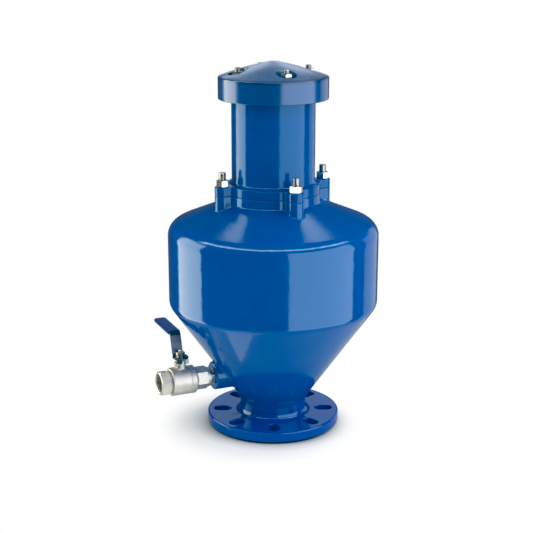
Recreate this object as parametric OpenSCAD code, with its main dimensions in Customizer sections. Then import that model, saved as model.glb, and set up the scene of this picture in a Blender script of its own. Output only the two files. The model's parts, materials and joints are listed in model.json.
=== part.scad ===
// Air release valve with a float chamber, a hooded outlet and a side drain valve.
// The origin is the centre of the inlet flange's raised face. +Z points up,
// -Y is the front of the casting and the drain valve lies along -X.

/* [Inlet flange] */
// Outside diameter of the inlet flange
flange_d = 220; // [216:1:240]
// Thickness of the flange plate above its raised face
flange_t = 16; // [14:0.5:20]
// Diameter of the raised sealing face
raised_face_d = 156; // [140:1:158]
// Height of the raised sealing face
raised_face_h = 3; // [2:0.5:4]
// Diameter of the inlet bore
inlet_d = 90; // [80:1:92]
// Number of slotted bolt holes
slot_count = 8; // [4:4:8]
// Width of a slotted bolt hole
slot_w = 19; // [15:0.5:20]
// Smallest bolt circle that the slots take
slot_pcd_min = 160; // [158:1:166]
// Largest bolt circle that the slots take
slot_pcd_max = 180; // [172:1:182]

/* [Float chamber] */
// Outside diameter of the waist above the flange
waist_d = 109; // [106:1:116]
// Outside diameter of the belly
belly_d = 343; // [330:1:356]
// Height where the lower cone leaves the waist
cone_foot_z = 43; // [42:0.5:46]
// Height where the lower cone meets the belly
cone_top_z = 210; // [200:1:220]
// Height where the belly meets the shoulder
belly_top_z = 340; // [330:1:346]
// Height of the shoulder beside the neck
shoulder_z = 379; // [376:0.5:382]
// Height of the joint between chamber and upper cover
joint_z = 394; // [392:0.5:396]
// Wall thickness of the casting
wall = 8; // [7:0.5:9]

/* [Lobed joint] */
// Outside diameter of the joint flange
joint_d = 152; // [150:1:154]
// Thickness of the cover's joint flange
joint_t = 15; // [12:0.5:18]
// Distance from the axis to a joint stud
lobe_r = 88; // [87:0.5:90]
// Diameter of the rounded end of a lobe
lobe_d = 25; // [24:0.5:27]
// Thread diameter of the joint studs
joint_stud_d = 12; // [10:1:12]

/* [Upper cover] */
// Outside diameter of the upper cylinder
cover_d = 134; // [130:1:138]
// Height of the top of the upper cylinder
cover_top_z = 552; // [546:1:556]
// Rounding between the cylinder and its joint flange
cover_fillet = 6.5; // [4:0.5:7]

/* [Cap] */
// Outside diameter of the cap
cap_d = 176; // [170:1:180]
// Height of the lower edge of the cap's skirt
cap_skirt_z = 544; // [540:1:546]
// Height of the cap's rim
cap_rim_z = 579; // [578:0.5:582]
// Height of the cap's peak
cap_peak_z = 604; // [600:0.5:608]
// Wall thickness of the cap's skirt
cap_wall = 6; // [5:0.5:7]
// Distance from the axis to a cap stud
cap_stud_r = 59; // [58:0.5:60]
// Thread diameter of the cap studs
cap_stud_d = 10; // [8:1:10]
// Diameter of the recess around a cap nut
cap_recess_d = 32; // [28:0.5:33]

/* [Orifice and float] */
// Diameter of the large orifice
orifice_d = 72; // [60:1:74]
// Diameter of the small orifice
nozzle_d = 5; // [3:0.5:6]
// Lift of the disc from its ledges to the seat
disc_lift = 40; // [30:1:42]
// Lift of the float from hanging to a closed nozzle
float_lift = 5; // [4:0.5:6]
// Diameter of the main float
float_d = 110; // [90:1:116]
// Height of the lower end of the main float
float_z = 120; // [116:1:126]
// Length of the main float
float_len = 170; // [140:1:176]
// Diameter of the float rod
rod_d = 12; // [10:1:12]

/* [Drain valve] */
// Height of the drain valve's axis
drain_z = 93; // [90:0.5:96]
// Outside diameter of the drain boss
boss_d = 46; // [42:1:48]
// Distance from the axis to the face of the drain boss
boss_end = 109; // [107:0.5:111]
// Distance from the axis to the stem of the ball valve
stem_u = 164; // [163:0.5:165]
// Diameter of the ball valve's barrel
barrel_d = 46; // [45:0.5:48]
// Width across flats of the outlet's hexagon
hex_af = 37; // [35:0.5:38]
// Width across flats of the end connector's hexagon
end_hex_af = 33; // [32:0.5:35]
// Diameter of the drain outlet's thread bore
outlet_d = 30.4; // [29:0.1:31]
// Width of the lever strip
lever_w = 18; // [16:0.5:22]
// Thickness of the lever strip
lever_t = 2.5; // [2:0.1:3]
// Reach of the lever from the stem to its tip
lever_reach = 103; // [90:1:120]

/* [Hidden] */
// Names of pieces that repeat, such as joint_stud_1 to joint_stud_4
function numbered(name, count) = [for (i = [1:count]) str(name, "_", i)];

$fn = 72;

paint_blue = [0.02, 0.25, 0.55];
grip_blue = [0.05, 0.10, 0.45];
stainless = [0.72, 0.71, 0.68];
lever_steel = [0.36, 0.42, 0.50];
rubber_black = [0.08, 0.08, 0.08];
seal_white = [0.92, 0.92, 0.90];
float_grey = [0.80, 0.82, 0.82];
bronze = [0.70, 0.52, 0.28];

// Gap between pieces that move past each other
run_gap = 0.3;
// Gap between a thread and its hole, or a piece and its pocket
fit_gap = 0.05;
// Overshoot of a cutting tool past the face that it cuts
over = 1;

flange_top = raised_face_h + flange_t;
cover_base_top = joint_z + joint_t;
belly_r = belly_d / 2;
inlet_r = inlet_d / 2;
cover_r = cover_d / 2;
cap_r = cap_d / 2;
quarter_turns = [0, 90, 180, 270];
// Nut width and washer width for a thread of diameter 1
nut_af_share = 1.5;
washer_share = 2.2;

// Wall offsets of the sloping walls, measured along X and along Z
cone_slope = (cone_top_z - cone_foot_z) / (belly_r - waist_d / 2);
cone_wall_x = wall * sqrt(1 + cone_slope * cone_slope) / cone_slope;
neck_r = joint_d / 2 + 0.5;
shoulder_slope = (shoulder_z - belly_top_z) / (belly_r - neck_r);
shoulder_wall_z = wall * sqrt(1 + shoulder_slope * shoulder_slope);

// Lobes: rounding between a flank and the disc, and how deep they reach into the shoulder
lobe_root_r = 6;
lobe_sink = 18;

// Joint seat: opening, ledge for the guide spider and seal groove
neck_open_r = 62;
spider_r = 66;
spider_t = 5;
guide_hub_r = 14;
guide_hub_h = 12;
guide_arm_w = 8;
guide_bore_r = 9;
bush_flange_r = 11.5;
bush_flange_t = 2;
joint_seal_r = 70.6;
joint_seal_d = 3.4;
joint_groove_half = 2;
joint_stud_depth = 20;
joint_nut_h = 10.6;
joint_stud_top = cover_base_top + 23;

// Inside of the upper cover
cover_bore_r = cover_r - wall;
cover_ring_r = 49;
cover_ring_z = cover_top_z - 24;
cover_ring_slope = 10;
rib_r = 51.5;
rib_w = 6;
rib_foot_z = joint_z + 8;
ledge_r = 45;
ledge_z = 478;
ledge_t = 10;
ledge_w = 8;

// Orifice seat on top of the cover
seat_flange_t = 6;
seat_hub_bottom = cover_top_z - 26;
seat_hub_r = cover_ring_r - 0.5;
seat_groove_in = 38;
seat_groove_out = 46;
seat_groove_depth = 3;
seat_gasket_t = 5.5;
seat_gasket_bottom = seat_hub_bottom - 2.5;
seat_seal_d = 3;
seat_seal_z = cover_top_z - 10.3;
seat_seal_groove_h = 3.4;
seat_seal_groove_depth = 2.6;
seat_top = cover_top_z + seat_flange_t;

// Inside of the cap
cap_ceiling = cap_rim_z - 9;
cap_stud_top = cap_rim_z + 16;
cap_stud_depth = 18;
cap_washer_t = 2;
cap_nut_h = 8;
cap_nut_af = 17;
cap_tip_r = 8;
cap_tip_drop = 2.2;
// Turn of the cap's four studs from the joint's lobes
cap_turn = -4;
spacer_wall = 3;

// Disc, nozzle, yoke and float linkage
disc_r = rib_r - 1;
disc_bottom = ledge_z + 0.1;
disc_top = seat_gasket_bottom - disc_lift - 0.2;
disc_hub_r = 24;
disc_hub_bottom = ledge_z - 16;
nozzle_r = 8;
nozzle_tip_r = 4.5;
nozzle_foot_r = 6;
nozzle_hex_af = 22;
nozzle_hex_h = 3;
yoke_t = 3;
yoke_bottom = disc_hub_bottom - yoke_t;
nozzle_tip = yoke_bottom - 6;
yoke_leg_y = 17.5;
yoke_leg_t = 4;
yoke_leg_w = 18;
pin_r = 3;
pin_z = nozzle_tip - 13;
pin_len = 47;
pad_r = 9;
pad_sunk = 2.6;
pad_top = nozzle_tip - float_lift - 0.2;
head_r = 12;
head_top = pad_top - 1.8;
head_bottom = pin_z - 12;
rod_socket = 7;
rod_bottom = float_z - 18;
float_top = float_z + float_len;
float_end_r = 18;
float_end_rise = 12;
float_rounding = 16;
float_washer_t = 2;
float_nut_h = rod_d * 0.8;

// Drain valve, as distances from the valve's axis along the drain
hex_in_end = 116;
hex_collar_r = 16;
hex_collar_len = 5;
hex_in_len = 23;
end_taper = 4;
seam_u = 151.5;
barrel_stop = 183.5;
barrel_groove_r = 17.6;
hex_out_u = 185;
outlet_u = 202;
// Turn of each hexagon about the drain, from a corner that points up
hex_in_turn = 15;
hex_out_turn = 45;
outlet_thread = 15;
nipple_r = 13.2;
nipple_start = 88;
nipple_stop = 130.5;
end_socket = 15;
port_r = 10;
ball_r = 14.5;
ball_bore_r = 9.5;
seat_near = 7.6;
seat_far = 13;
seat_r = 14;
spigot_r = 17;
spigot_end = stem_u - 8;
cavity_r = 15.5;

// Stem stack, as heights above the drain axis
stem_r = 5;
collar_r = 6.6;
collar_hole_r = 7;
tang_w = 5;
tang_len = 11;
tang_slot_w = 5.4;
tang_bottom = drain_z + 11;
collar_bottom = drain_z + 15.5;
collar_top = drain_z + 18;
stem_neck_z = drain_z + 19;
packing_z = drain_z + 24;
gland_z = drain_z + 30;
stem_boss_top = drain_z + 36;
stem_boss_r = 8.4;
stem_boss_foot = drain_z + 18.5;
stem_boss_foot_r = 12;
stem_boss_fillet = 3;
gland_af = 15;
gland_head_t = 2.5;
packing_r = 6.6;
lever_z = stem_boss_top + 3;
lever_top = lever_z + lever_t;
lever_washer_t = 1.5;
lever_washer_d = 16;
lever_nut_af = 13;
lever_nut_h = 6.5;
stem_top = lever_top + lever_washer_t + lever_nut_h + 3.5;
stem_flat_r = 4.6;
stem_flat_half = 3.5;
stem_thread_r = 3.4;
stem_thread_bevel = 0.8;
lever_hole_gap = 0.1;

// Lever: plate, stop tab and bent strip
plate_r = 13;
tab_in = 10.5;
tab_t = 2.2;
tab_w = 8;
tab_drop = 6.5;
tab_angle = 246;
ear_w = 6;
ear_out = 14.5;
ear_h = 8.5;
ear_z = stem_boss_top - ear_h - 0.8;
stop_spread = atan(tab_w / 2 / tab_in) + atan(ear_w / 2 / tab_in) + 1.5;
lever_mid = lever_z + lever_t / 2;
lever_bend_y = 24.5;
lever_bend_z = lever_mid + 33;
lever_rise = 0.6;
lever_tip_z = lever_bend_z + lever_rise;
lever_tip_rounding = 5;
lever_room = 60;
grip_t = 5.4;
grip_w = lever_w + 3;
grip_start = lever_bend_y + 4;
grip_over = 2.5;
grip_tip_rounding = 6;

// Direction from a to b, one unit long
function unit(v) = v / norm(v);

// Arc of radius r that rounds the corner b between a and c
function corner_arc(a, b, c, r, n) =
    r <= 0 ? [b] :
    let (
        u = unit(a - b),
        v = unit(c - b),
        half = acos(u * v) / 2,
        centre = b + unit(u + v) * r / sin(half),
        start = b + u * r / tan(half) - centre,
        stop = b + v * r / tan(half) - centre,
        from = atan2(start.y, start.x),
        turn = (atan2(stop.y, stop.x) - from + 540) % 360 - 180
    )
    [for (i = [0:n]) centre + r * [cos(from + turn * i / n), sin(from + turn * i / n)]];

function flat(p) = [p.x, p.y];

// Closed outline from corners that are written [x, y, rounding radius]
function rounded(corners, n = 6) =
    let (k = len(corners))
    [for (i = [0:k - 1])
        each corner_arc(
            flat(corners[(i + k - 1) % k]), flat(corners[i]), flat(corners[(i + 1) % k]),
            corners[i][2], n)];

// Open path from corners that are written [x, y, rounding radius]
function rounded_path(corners, n = 6) =
    let (k = len(corners))
    [for (i = [0:k - 1])
        each (i == 0 || i == k - 1)
            ? [flat(corners[i])]
            : corner_arc(flat(corners[i - 1]), flat(corners[i]), flat(corners[i + 1]), corners[i][2], n)];

// Outline of a strip of thickness t along a path
function side_step(p, i) =
    let (d = unit(p[min(i + 1, len(p) - 1)] - p[max(i - 1, 0)]))
    [-d.y, d.x];
function strip(p, t) = concat(
    [for (i = [0:len(p) - 1]) p[i] + side_step(p, i) * t / 2],
    [for (i = [len(p) - 1:-1:0]) p[i] - side_step(p, i) * t / 2]);

// Solid of revolution about Z from rounded corners
module turned(corners, n = 6) {
    rotate_extrude() polygon(rounded(corners, n));
}

// Ring with a square section
module ring(inner, outer, z, h) {
    translate([0, 0, z])
        difference() {
            cylinder(r = outer, h = h);
            translate([0, 0, -over]) cylinder(r = inner, h = h + 2 * over);
        }
}

// Ring with a round section
module o_ring(r, section_d, z) {
    translate([0, 0, z])
        rotate_extrude() translate([r, 0]) circle(d = section_d, $fn = 32);
}

// Bar with a rounded upper end
module stud(d, bottom, top) {
    r = d / 2 - 2 * fit_gap;
    turned([[0, bottom, 0], [r, bottom, 0], [r, top, d / 5], [0, top, 0]]);
}

// Hexagon prism whose end corners are turned off
module hex_bar(af, z, h) {
    corner = af / sqrt(3);
    trim = (corner - af / 2) * 0.6;
    edge = af / 2 - 0.2;
    intersection() {
        translate([0, 0, z]) cylinder(r = corner, h = h, $fn = 6);
        turned([
            [0, z, 0], [edge, z, 0], [corner + 0.2, z + trim, 0],
            [corner + 0.2, z + h - trim, 0], [edge, z + h, 0], [0, z + h, 0]]);
    }
}

module hex_nut(af, bore_d, z, h) {
    difference() {
        hex_bar(af, z, h);
        translate([0, 0, z - over]) cylinder(d = bore_d, h = h + 2 * over);
    }
}

module washer(bore_d, outer_d, z, t) {
    ring(bore_d / 2, outer_d / 2, z, t);
}

// Place i of the four joint studs or the four cap studs
module quarter(i, r) {
    rotate([0, 0, quarter_turns[i - 1]]) translate([r, 0, 0]) children();
}

module around(r) {
    for (i = [1:4]) quarter(i, r) children();
}

module cap_quarter(i) {
    rotate([0, 0, cap_turn]) quarter(i, cap_stud_r) children();
}

module cap_around() {
    for (i = [1:4]) cap_quarter(i) children();
}

// Turns a shape drawn along Z so that it lies along the drain
module along_drain() {
    translate([0, 0, drain_z]) rotate([0, -90, 0]) children();
}

module at_stem() {
    translate([-stem_u, 0, 0]) children();
}

// Upper half of a lobe's plan: a straight flank that runs into the disc with a rounding
function lobe_half(disc_r) =
    let (
        half = lobe_d / 2,
        far = disc_r + lobe_root_r,
        centre = [sqrt(far * far - (half + lobe_root_r) * (half + lobe_root_r)), half + lobe_root_r],
        stop = atan2(centre.y, centre.x) + 180,
        steps = 6
    )
    concat(
        [[lobe_r, half]],
        [for (i = [0:steps])
            centre + lobe_root_r * [cos(270 + (stop - 270) * i / steps), sin(270 + (stop - 270) * i / steps)]]);

// Plan of the joint flange: a disc with four lobes
module joint_plan(disc_r) {
    side = lobe_half(disc_r);
    last = len(side) - 1;
    circle(r = disc_r);
    for (a = quarter_turns) rotate(a) {
        translate([lobe_r, 0]) circle(d = lobe_d);
        polygon(concat(
            side, [[disc_r / 2, 0]], [for (i = [last:-1:0]) [side[i].x, -side[i].y]]));
    }
}

module flange_slot() {
    length = (slot_pcd_max - slot_pcd_min) / 2;
    translate([slot_pcd_min / 2, 0, -over]) {
        cylinder(d = slot_w, h = flange_top + 2 * over);
        translate([length, 0, 0]) cylinder(d = slot_w, h = flange_top + 2 * over);
        translate([0, -slot_w / 2, 0]) cube([length, slot_w, flange_top + 2 * over]);
    }
}

module chamber_outside() {
    turned([
        [0, 0, 0], [raised_face_d / 2, 0, 0], [raised_face_d / 2, raised_face_h, 0],
        [flange_d / 2, raised_face_h, 1.5], [flange_d / 2, flange_top, 2.5],
        [waist_d / 2, flange_top, 9], [waist_d / 2, cone_foot_z, 20],
        [belly_r, cone_top_z, 20.6], [belly_r, belly_top_z, 24],
        [neck_r, shoulder_z, 5], [neck_r, joint_z, 0], [0, joint_z, 0]]);
    // Lobes that carry the joint studs
    translate([0, 0, shoulder_z - lobe_sink])
        linear_extrude(joint_z - shoulder_z + lobe_sink) joint_plan(neck_r);
    // Drain boss
    along_drain()
        turned([[0, inlet_r, 0], [boss_d / 2, inlet_r, 0], [boss_d / 2, boss_end, 2], [0, boss_end, 0]]);
}

module chamber_inside() {
    belly_in = belly_r - wall;
    shoulder_in = belly_top_z - shoulder_wall_z;
    turned([
        [0, -over, 0], [inlet_r, -over, 0], [inlet_r, cone_foot_z, 0],
        [belly_in, cone_top_z + (cone_wall_x - wall) * cone_slope, 16],
        [belly_in, shoulder_in + wall * shoulder_slope, 16],
        [neck_open_r, shoulder_in + (belly_r - neck_open_r) * shoulder_slope, 3],
        [neck_open_r, joint_z + over, 0], [0, joint_z + over, 0]]);
}

module body() {
    color(paint_blue)
        difference() {
            chamber_outside();
            chamber_inside();
            for (i = [0:slot_count - 1])
                rotate([0, 0, (i + 0.5) * 360 / slot_count]) flange_slot();
            around(lobe_r)
                translate([0, 0, joint_z - joint_stud_depth])
                    cylinder(d = joint_stud_d, h = joint_stud_depth + over);
            translate([0, 0, joint_z - spider_t]) cylinder(r = spider_r, h = spider_t + over);
            ring(
                joint_seal_r - joint_groove_half, joint_seal_r + joint_groove_half,
                joint_z - joint_seal_d - 2 * fit_gap, joint_seal_d + over);
            along_drain() {
                translate([0, 0, nipple_start - 1])
                    cylinder(r = nipple_r, h = boss_end - nipple_start + 1 + over);
                translate([0, 0, inlet_r]) cylinder(r = port_r, h = boss_end - inlet_r);
            }
        }
}

module upper_cover() {
    color(paint_blue)
        difference() {
            union() {
                translate([0, 0, joint_z]) linear_extrude(joint_t) joint_plan(joint_d / 2);
                turned([
                    [0, joint_z, 0], [joint_d / 2 - 1, joint_z, 0], [joint_d / 2 - 1, cover_base_top, 0],
                    [cover_r, cover_base_top, cover_fillet], [cover_r, cover_top_z, 1], [0, cover_top_z, 0]]);
            }
            difference() {
                turned([
                    [0, joint_z - over, 0], [cover_bore_r, joint_z - over, 0],
                    [cover_bore_r, cover_ring_z - cover_ring_slope, 0], [cover_ring_r, cover_ring_z, 0],
                    [cover_ring_r, cover_top_z + over, 0], [0, cover_top_z + over, 0]]);
                for (a = quarter_turns) rotate([0, 0, a + 45]) {
                    // Guide rib of the disc
                    translate([rib_r, -rib_w / 2, rib_foot_z])
                        cube([wall + 4, rib_w, cover_ring_z - rib_foot_z - 2]);
                    // Ledge that the disc rests on
                    translate([ledge_r, -ledge_w / 2, ledge_z - ledge_t]) cube([wall + 10, ledge_w, ledge_t]);
                }
            }
            around(lobe_r)
                translate([0, 0, joint_z - over]) cylinder(d = joint_stud_d + 1.5, h = joint_t + 2 * over);
            cap_around()
                translate([0, 0, cover_top_z - cap_stud_depth])
                    cylinder(d = cap_stud_d, h = cap_stud_depth + over);
        }
}

module joint_o_ring() {
    color(rubber_black) o_ring(joint_seal_r, joint_seal_d, joint_z - joint_seal_d / 2 - fit_gap);
}

module joint_stud(i) {
    color(stainless)
        quarter(i, lobe_r) stud(joint_stud_d, joint_z - joint_stud_depth + fit_gap, joint_stud_top);
}

module joint_nut(i) {
    color(stainless)
        quarter(i, lobe_r) hex_nut(joint_stud_d * nut_af_share, joint_stud_d, cover_base_top, joint_nut_h);
}

module guide_spider() {
    color(stainless)
        difference() {
            union() {
                ring(cover_bore_r - 3, spider_r - 2 * fit_gap, joint_z - spider_t, spider_t);
                translate([0, 0, joint_z - guide_hub_h]) cylinder(r = guide_hub_r, h = guide_hub_h);
                for (a = quarter_turns) rotate([0, 0, a])
                    translate([0, -guide_arm_w / 2, joint_z - spider_t])
                        cube([cover_bore_r - 1, guide_arm_w, spider_t]);
            }
            translate([0, 0, joint_z - guide_hub_h - over])
                cylinder(r = guide_bore_r, h = guide_hub_h + 2 * over);
        }
}

module guide_bush() {
    color(seal_white)
        difference() {
            union() {
                translate([0, 0, joint_z - guide_hub_h])
                    cylinder(r = guide_bore_r - fit_gap, h = guide_hub_h + 1);
                translate([0, 0, joint_z]) cylinder(r = bush_flange_r, h = bush_flange_t);
            }
            translate([0, 0, joint_z - guide_hub_h - over])
                cylinder(r = rod_d / 2 + run_gap, h = guide_hub_h + bush_flange_t + 2 * over);
        }
}

module seat_ring() {
    color(stainless)
        difference() {
            turned([
                [orifice_d / 2, seat_hub_bottom, 0], [seat_hub_r, seat_hub_bottom, 0],
                [seat_hub_r, cover_top_z, 0], [cover_r - 1, cover_top_z, 0], [cover_r - 1, seat_top, 1],
                [orifice_d / 2, seat_top, 3]]);
            ring(seat_groove_in, seat_groove_out, seat_hub_bottom - over, seat_groove_depth + over);
            ring(
                seat_hub_r - seat_seal_groove_depth, seat_hub_r + over,
                seat_seal_z - seat_seal_groove_h / 2, seat_seal_groove_h);
            cap_around()
                translate([0, 0, cover_top_z - over])
                    cylinder(d = cap_stud_d + 1, h = seat_flange_t + 2 * over);
        }
}

module seat_o_ring() {
    color(rubber_black) o_ring(seat_hub_r - 1.1, seat_seal_d, seat_seal_z);
}

module seat_gasket() {
    color(rubber_black)
        ring(seat_groove_in + fit_gap, seat_groove_out - fit_gap, seat_gasket_bottom, seat_gasket_t);
}

module cap_spacer(i) {
    bore_d = cap_stud_d + 1;
    color(stainless)
        cap_quarter(i) washer(bore_d, bore_d + 2 * spacer_wall, seat_top, cap_ceiling - seat_top);
}

module cap() {
    ceiling_r = cap_stud_r - 14;
    color(paint_blue)
        difference() {
            turned([
                [0, cap_skirt_z, 0], [cap_r, cap_skirt_z, 1.5], [cap_r, cap_rim_z, 3],
                [cap_tip_r, cap_peak_z - cap_tip_drop, 0], [cap_tip_r / 3, cap_peak_z - cap_tip_drop / 8, 0],
                [0, cap_peak_z, 0]]);
            turned([
                [0, cap_skirt_z - over, 0], [cap_r - cap_wall, cap_skirt_z - over, 0],
                [cap_r - cap_wall, cap_ceiling, 5], [ceiling_r, cap_ceiling, 3],
                [ceiling_r - 10, cap_ceiling + 12, 3], [0, cap_ceiling + 22, 0]]);
            cap_around() {
                translate([0, 0, cap_rim_z]) cylinder(d = cap_recess_d, h = cap_peak_z - cap_rim_z);
                translate([0, 0, cap_ceiling - over]) cylinder(d = cap_stud_d + 1.5, h = 12);
            }
        }
}

module cap_stud(i) {
    color(stainless)
        cap_quarter(i) stud(cap_stud_d, cover_top_z - cap_stud_depth + fit_gap, cap_stud_top);
}

module cap_washer(i) {
    color(stainless)
        cap_quarter(i) washer(cap_stud_d + 0.6, cap_stud_d * 2, cap_rim_z, cap_washer_t);
}

module cap_nut(i) {
    color(stainless)
        cap_quarter(i) hex_nut(cap_nut_af, cap_stud_d, cap_rim_z + cap_washer_t, cap_nut_h);
}

module drain_nipple() {
    color(stainless)
        along_drain() ring(ball_bore_r, nipple_r - fit_gap, nipple_start, nipple_stop - nipple_start);
}

module valve_end() {
    color(stainless)
        along_drain()
            difference() {
                union() {
                    rotate([0, 0, hex_in_turn])
                        hex_bar(end_hex_af, hex_in_end + hex_collar_len - 1, hex_in_len - hex_collar_len + 2);
                    turned([
                        [0, hex_in_end, 0], [hex_collar_r, hex_in_end, 1.2],
                        [hex_collar_r, hex_in_end + hex_in_len - 1, 0],
                        [barrel_d / 2, hex_in_end + hex_in_len + end_taper, 1], [barrel_d / 2, seam_u, 0.6],
                        [spigot_r - fit_gap, seam_u, 0], [spigot_r - fit_gap, spigot_end, 0],
                        [0, spigot_end, 0]]);
                }
                translate([0, 0, hex_in_end - over]) cylinder(r = nipple_r, h = end_socket + over);
                translate([0, 0, hex_in_end]) cylinder(r = port_r, h = spigot_end - hex_in_end + over);
                translate([0, 0, stem_u - seat_far]) cylinder(r = seat_r + fit_gap, h = seat_far);
            }
}

module stop_ear(angle) {
    at_stem() rotate([0, 0, angle])
        translate([stem_boss_r - 1, -ear_w / 2, ear_z]) cube([ear_out - stem_boss_r + 1, ear_w, ear_h]);
}

module valve_body() {
    color(stainless)
        difference() {
            union() {
                along_drain() {
                    rotate([0, 0, hex_out_turn]) hex_bar(hex_af, hex_out_u, outlet_u - hex_out_u);
                    turned([
                        [0, seam_u, 0], [barrel_d / 2, seam_u, 0.6], [barrel_d / 2, barrel_stop, 1.8],
                        [barrel_groove_r, barrel_stop, 0], [barrel_groove_r, hex_out_u + 2, 0],
                        [0, hex_out_u + 2, 0]]);
                }
                at_stem()
                    turned([
                        [0, drain_z, 0], [stem_boss_foot_r, drain_z, 0],
                        [stem_boss_foot_r, stem_boss_foot, 0], [stem_boss_r, stem_boss_foot, stem_boss_fillet],
                        [stem_boss_r, stem_boss_top, 0.5], [0, stem_boss_top, 0]]);
                stop_ear(tab_angle - stop_spread);
                stop_ear(tab_angle + 90 + stop_spread);
            }
            along_drain()
                turned([
                    [0, seam_u - over, 0], [spigot_r, seam_u - over, 0], [spigot_r, spigot_end, 0],
                    [cavity_r, spigot_end, 0], [cavity_r, stem_u + seat_near, 0],
                    [seat_r + fit_gap, stem_u + seat_near, 0], [seat_r + fit_gap, stem_u + seat_far, 0],
                    [port_r, stem_u + seat_far, 0], [port_r, outlet_u - outlet_thread, 0],
                    [outlet_d / 2, outlet_u - outlet_thread, 0], [outlet_d / 2, outlet_u + over, 0],
                    [0, outlet_u + over, 0]]);
            at_stem() {
                translate([0, 0, drain_z]) cylinder(r = collar_hole_r, h = stem_neck_z - drain_z);
                translate([0, 0, drain_z]) cylinder(r = stem_r + run_gap, h = stem_boss_top - drain_z + over);
                translate([0, 0, packing_z]) cylinder(r = packing_r, h = stem_boss_top - packing_z + over);
            }
        }
}

module ball_seat(i) {
    color(seal_white)
        along_drain() translate([0, 0, stem_u]) rotate([180 * (i - 1), 0, 0])
            difference() {
                ring(port_r, seat_r, seat_near, seat_far - seat_near);
                sphere(r = ball_r + run_gap);
            }
}

module thrust_washer() {
    color(seal_white)
        at_stem() ring(stem_r + run_gap, collar_hole_r - 2 * fit_gap, collar_top, stem_neck_z - collar_top);
}

module stem_packing() {
    color(seal_white)
        at_stem() ring(stem_r + run_gap, packing_r - fit_gap, packing_z, gland_z - packing_z);
}

module gland_nut() {
    color(stainless)
        at_stem() difference() {
            union() {
                translate([0, 0, gland_z])
                    cylinder(r = packing_r - fit_gap, h = stem_boss_top - gland_z + over);
                hex_bar(gland_af, stem_boss_top, gland_head_t);
            }
            translate([0, 0, gland_z - over])
                cylinder(r = stem_r + run_gap, h = stem_boss_top + gland_head_t - gland_z + 2 * over);
        }
}

module ball() {
    color(stainless)
        translate([-stem_u, 0, drain_z]) difference() {
            sphere(r = ball_r);
            rotate([90, 0, 0]) cylinder(r = ball_bore_r, h = 2 * ball_r + 2 * over, center = true);
            translate([-ball_r, -tang_slot_w / 2, tang_bottom - drain_z - 0.2])
                cube([2 * ball_r, tang_slot_w, ball_r]);
        }
}

module stem() {
    color(stainless)
        at_stem() {
            translate([-tang_len / 2, -tang_w / 2, tang_bottom])
                cube([tang_len, tang_w, collar_bottom - tang_bottom + 0.5]);
            translate([0, 0, collar_bottom]) cylinder(r = collar_r, h = collar_top - collar_bottom);
            translate([0, 0, collar_bottom]) cylinder(r = stem_r, h = lever_z - collar_bottom - 0.2);
            // Two flats carry the lever
            intersection() {
                translate([0, 0, collar_bottom])
                    cylinder(r = stem_flat_r, h = lever_top + 0.5 - collar_bottom);
                translate([-stem_flat_half, -stem_r, collar_bottom])
                    cube([2 * stem_flat_half, 2 * stem_r, stem_top]);
            }
            turned([
                [0, collar_bottom, 0], [stem_thread_r, collar_bottom, 0],
                [stem_thread_r, stem_top - stem_thread_bevel, 0],
                [stem_thread_r - stem_thread_bevel, stem_top, 0], [0, stem_top, 0]]);
        }
}

// Side view of the lever strip's middle line, as [y, z, bend radius]
lever_line = rounded_path([
    [-2, lever_mid, 0], [plate_r + 0.5, lever_mid, 4],
    [lever_bend_y, lever_bend_z, 5], [lever_reach, lever_tip_z, 0]]);
grip_line = [
    [grip_start, lever_bend_z + lever_rise * (grip_start - lever_bend_y) / (lever_reach - lever_bend_y)],
    [lever_reach + grip_over + 0.5, lever_tip_z + 0.15]];

// Strip drawn in the YZ plane and given a width along X
module side_strip(line, t, w) {
    rotate([90, 0, 90]) translate([0, 0, -w / 2]) linear_extrude(w) polygon(strip(line, t));
}

// Plan of a strip with a rounded tip, from y0 to y1
module tip_plan(y0, y1, w, r) {
    polygon(rounded([[-w / 2, y0, 0], [w / 2, y0, 0], [w / 2, y1, r], [-w / 2, y1, r]]));
}

module lever() {
    color(lever_steel)
        at_stem() difference() {
            union() {
                translate([0, 0, lever_z]) cylinder(r = plate_r, h = lever_t);
                intersection() {
                    side_strip(lever_line, lever_t, lever_w);
                    translate([0, 0, lever_z - over])
                        linear_extrude(lever_room) tip_plan(-3, lever_reach, lever_w, lever_tip_rounding);
                }
                rotate([0, 0, tab_angle])
                    translate([tab_in, -tab_w / 2, lever_z - tab_drop])
                        cube([tab_t, tab_w, tab_drop + lever_t / 2]);
            }
            intersection() {
                hole_half = stem_flat_half + lever_hole_gap;
                translate([0, 0, lever_z - over])
                    cylinder(r = stem_flat_r + lever_hole_gap, h = lever_t + 2 * over);
                translate([-hole_half, -stem_r, lever_z - over])
                    cube([2 * hole_half, 2 * stem_r, lever_t + 2 * over]);
            }
        }
}

module lever_grip() {
    color(grip_blue)
        at_stem() difference() {
            intersection() {
                side_strip(grip_line, grip_t, grip_w);
                translate([0, 0, lever_z]) linear_extrude(lever_room)
                    tip_plan(grip_start, lever_reach + grip_over, grip_w, grip_tip_rounding);
            }
            intersection() {
                side_strip(lever_line, lever_t + 2 * fit_gap, lever_w + 2 * fit_gap);
                translate([0, 0, lever_z]) linear_extrude(lever_room)
                    tip_plan(0, lever_reach + fit_gap, lever_w + 2 * fit_gap, lever_tip_rounding);
            }
        }
}

module lever_washer() {
    color(stainless) at_stem() washer(2 * stem_flat_r + 0.2, lever_washer_d, lever_top, lever_washer_t);
}

module lever_nut() {
    color(stainless)
        at_stem()
            hex_nut(lever_nut_af, 2 * stem_thread_r + 0.2, lever_top + lever_washer_t, lever_nut_h);
}

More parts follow.
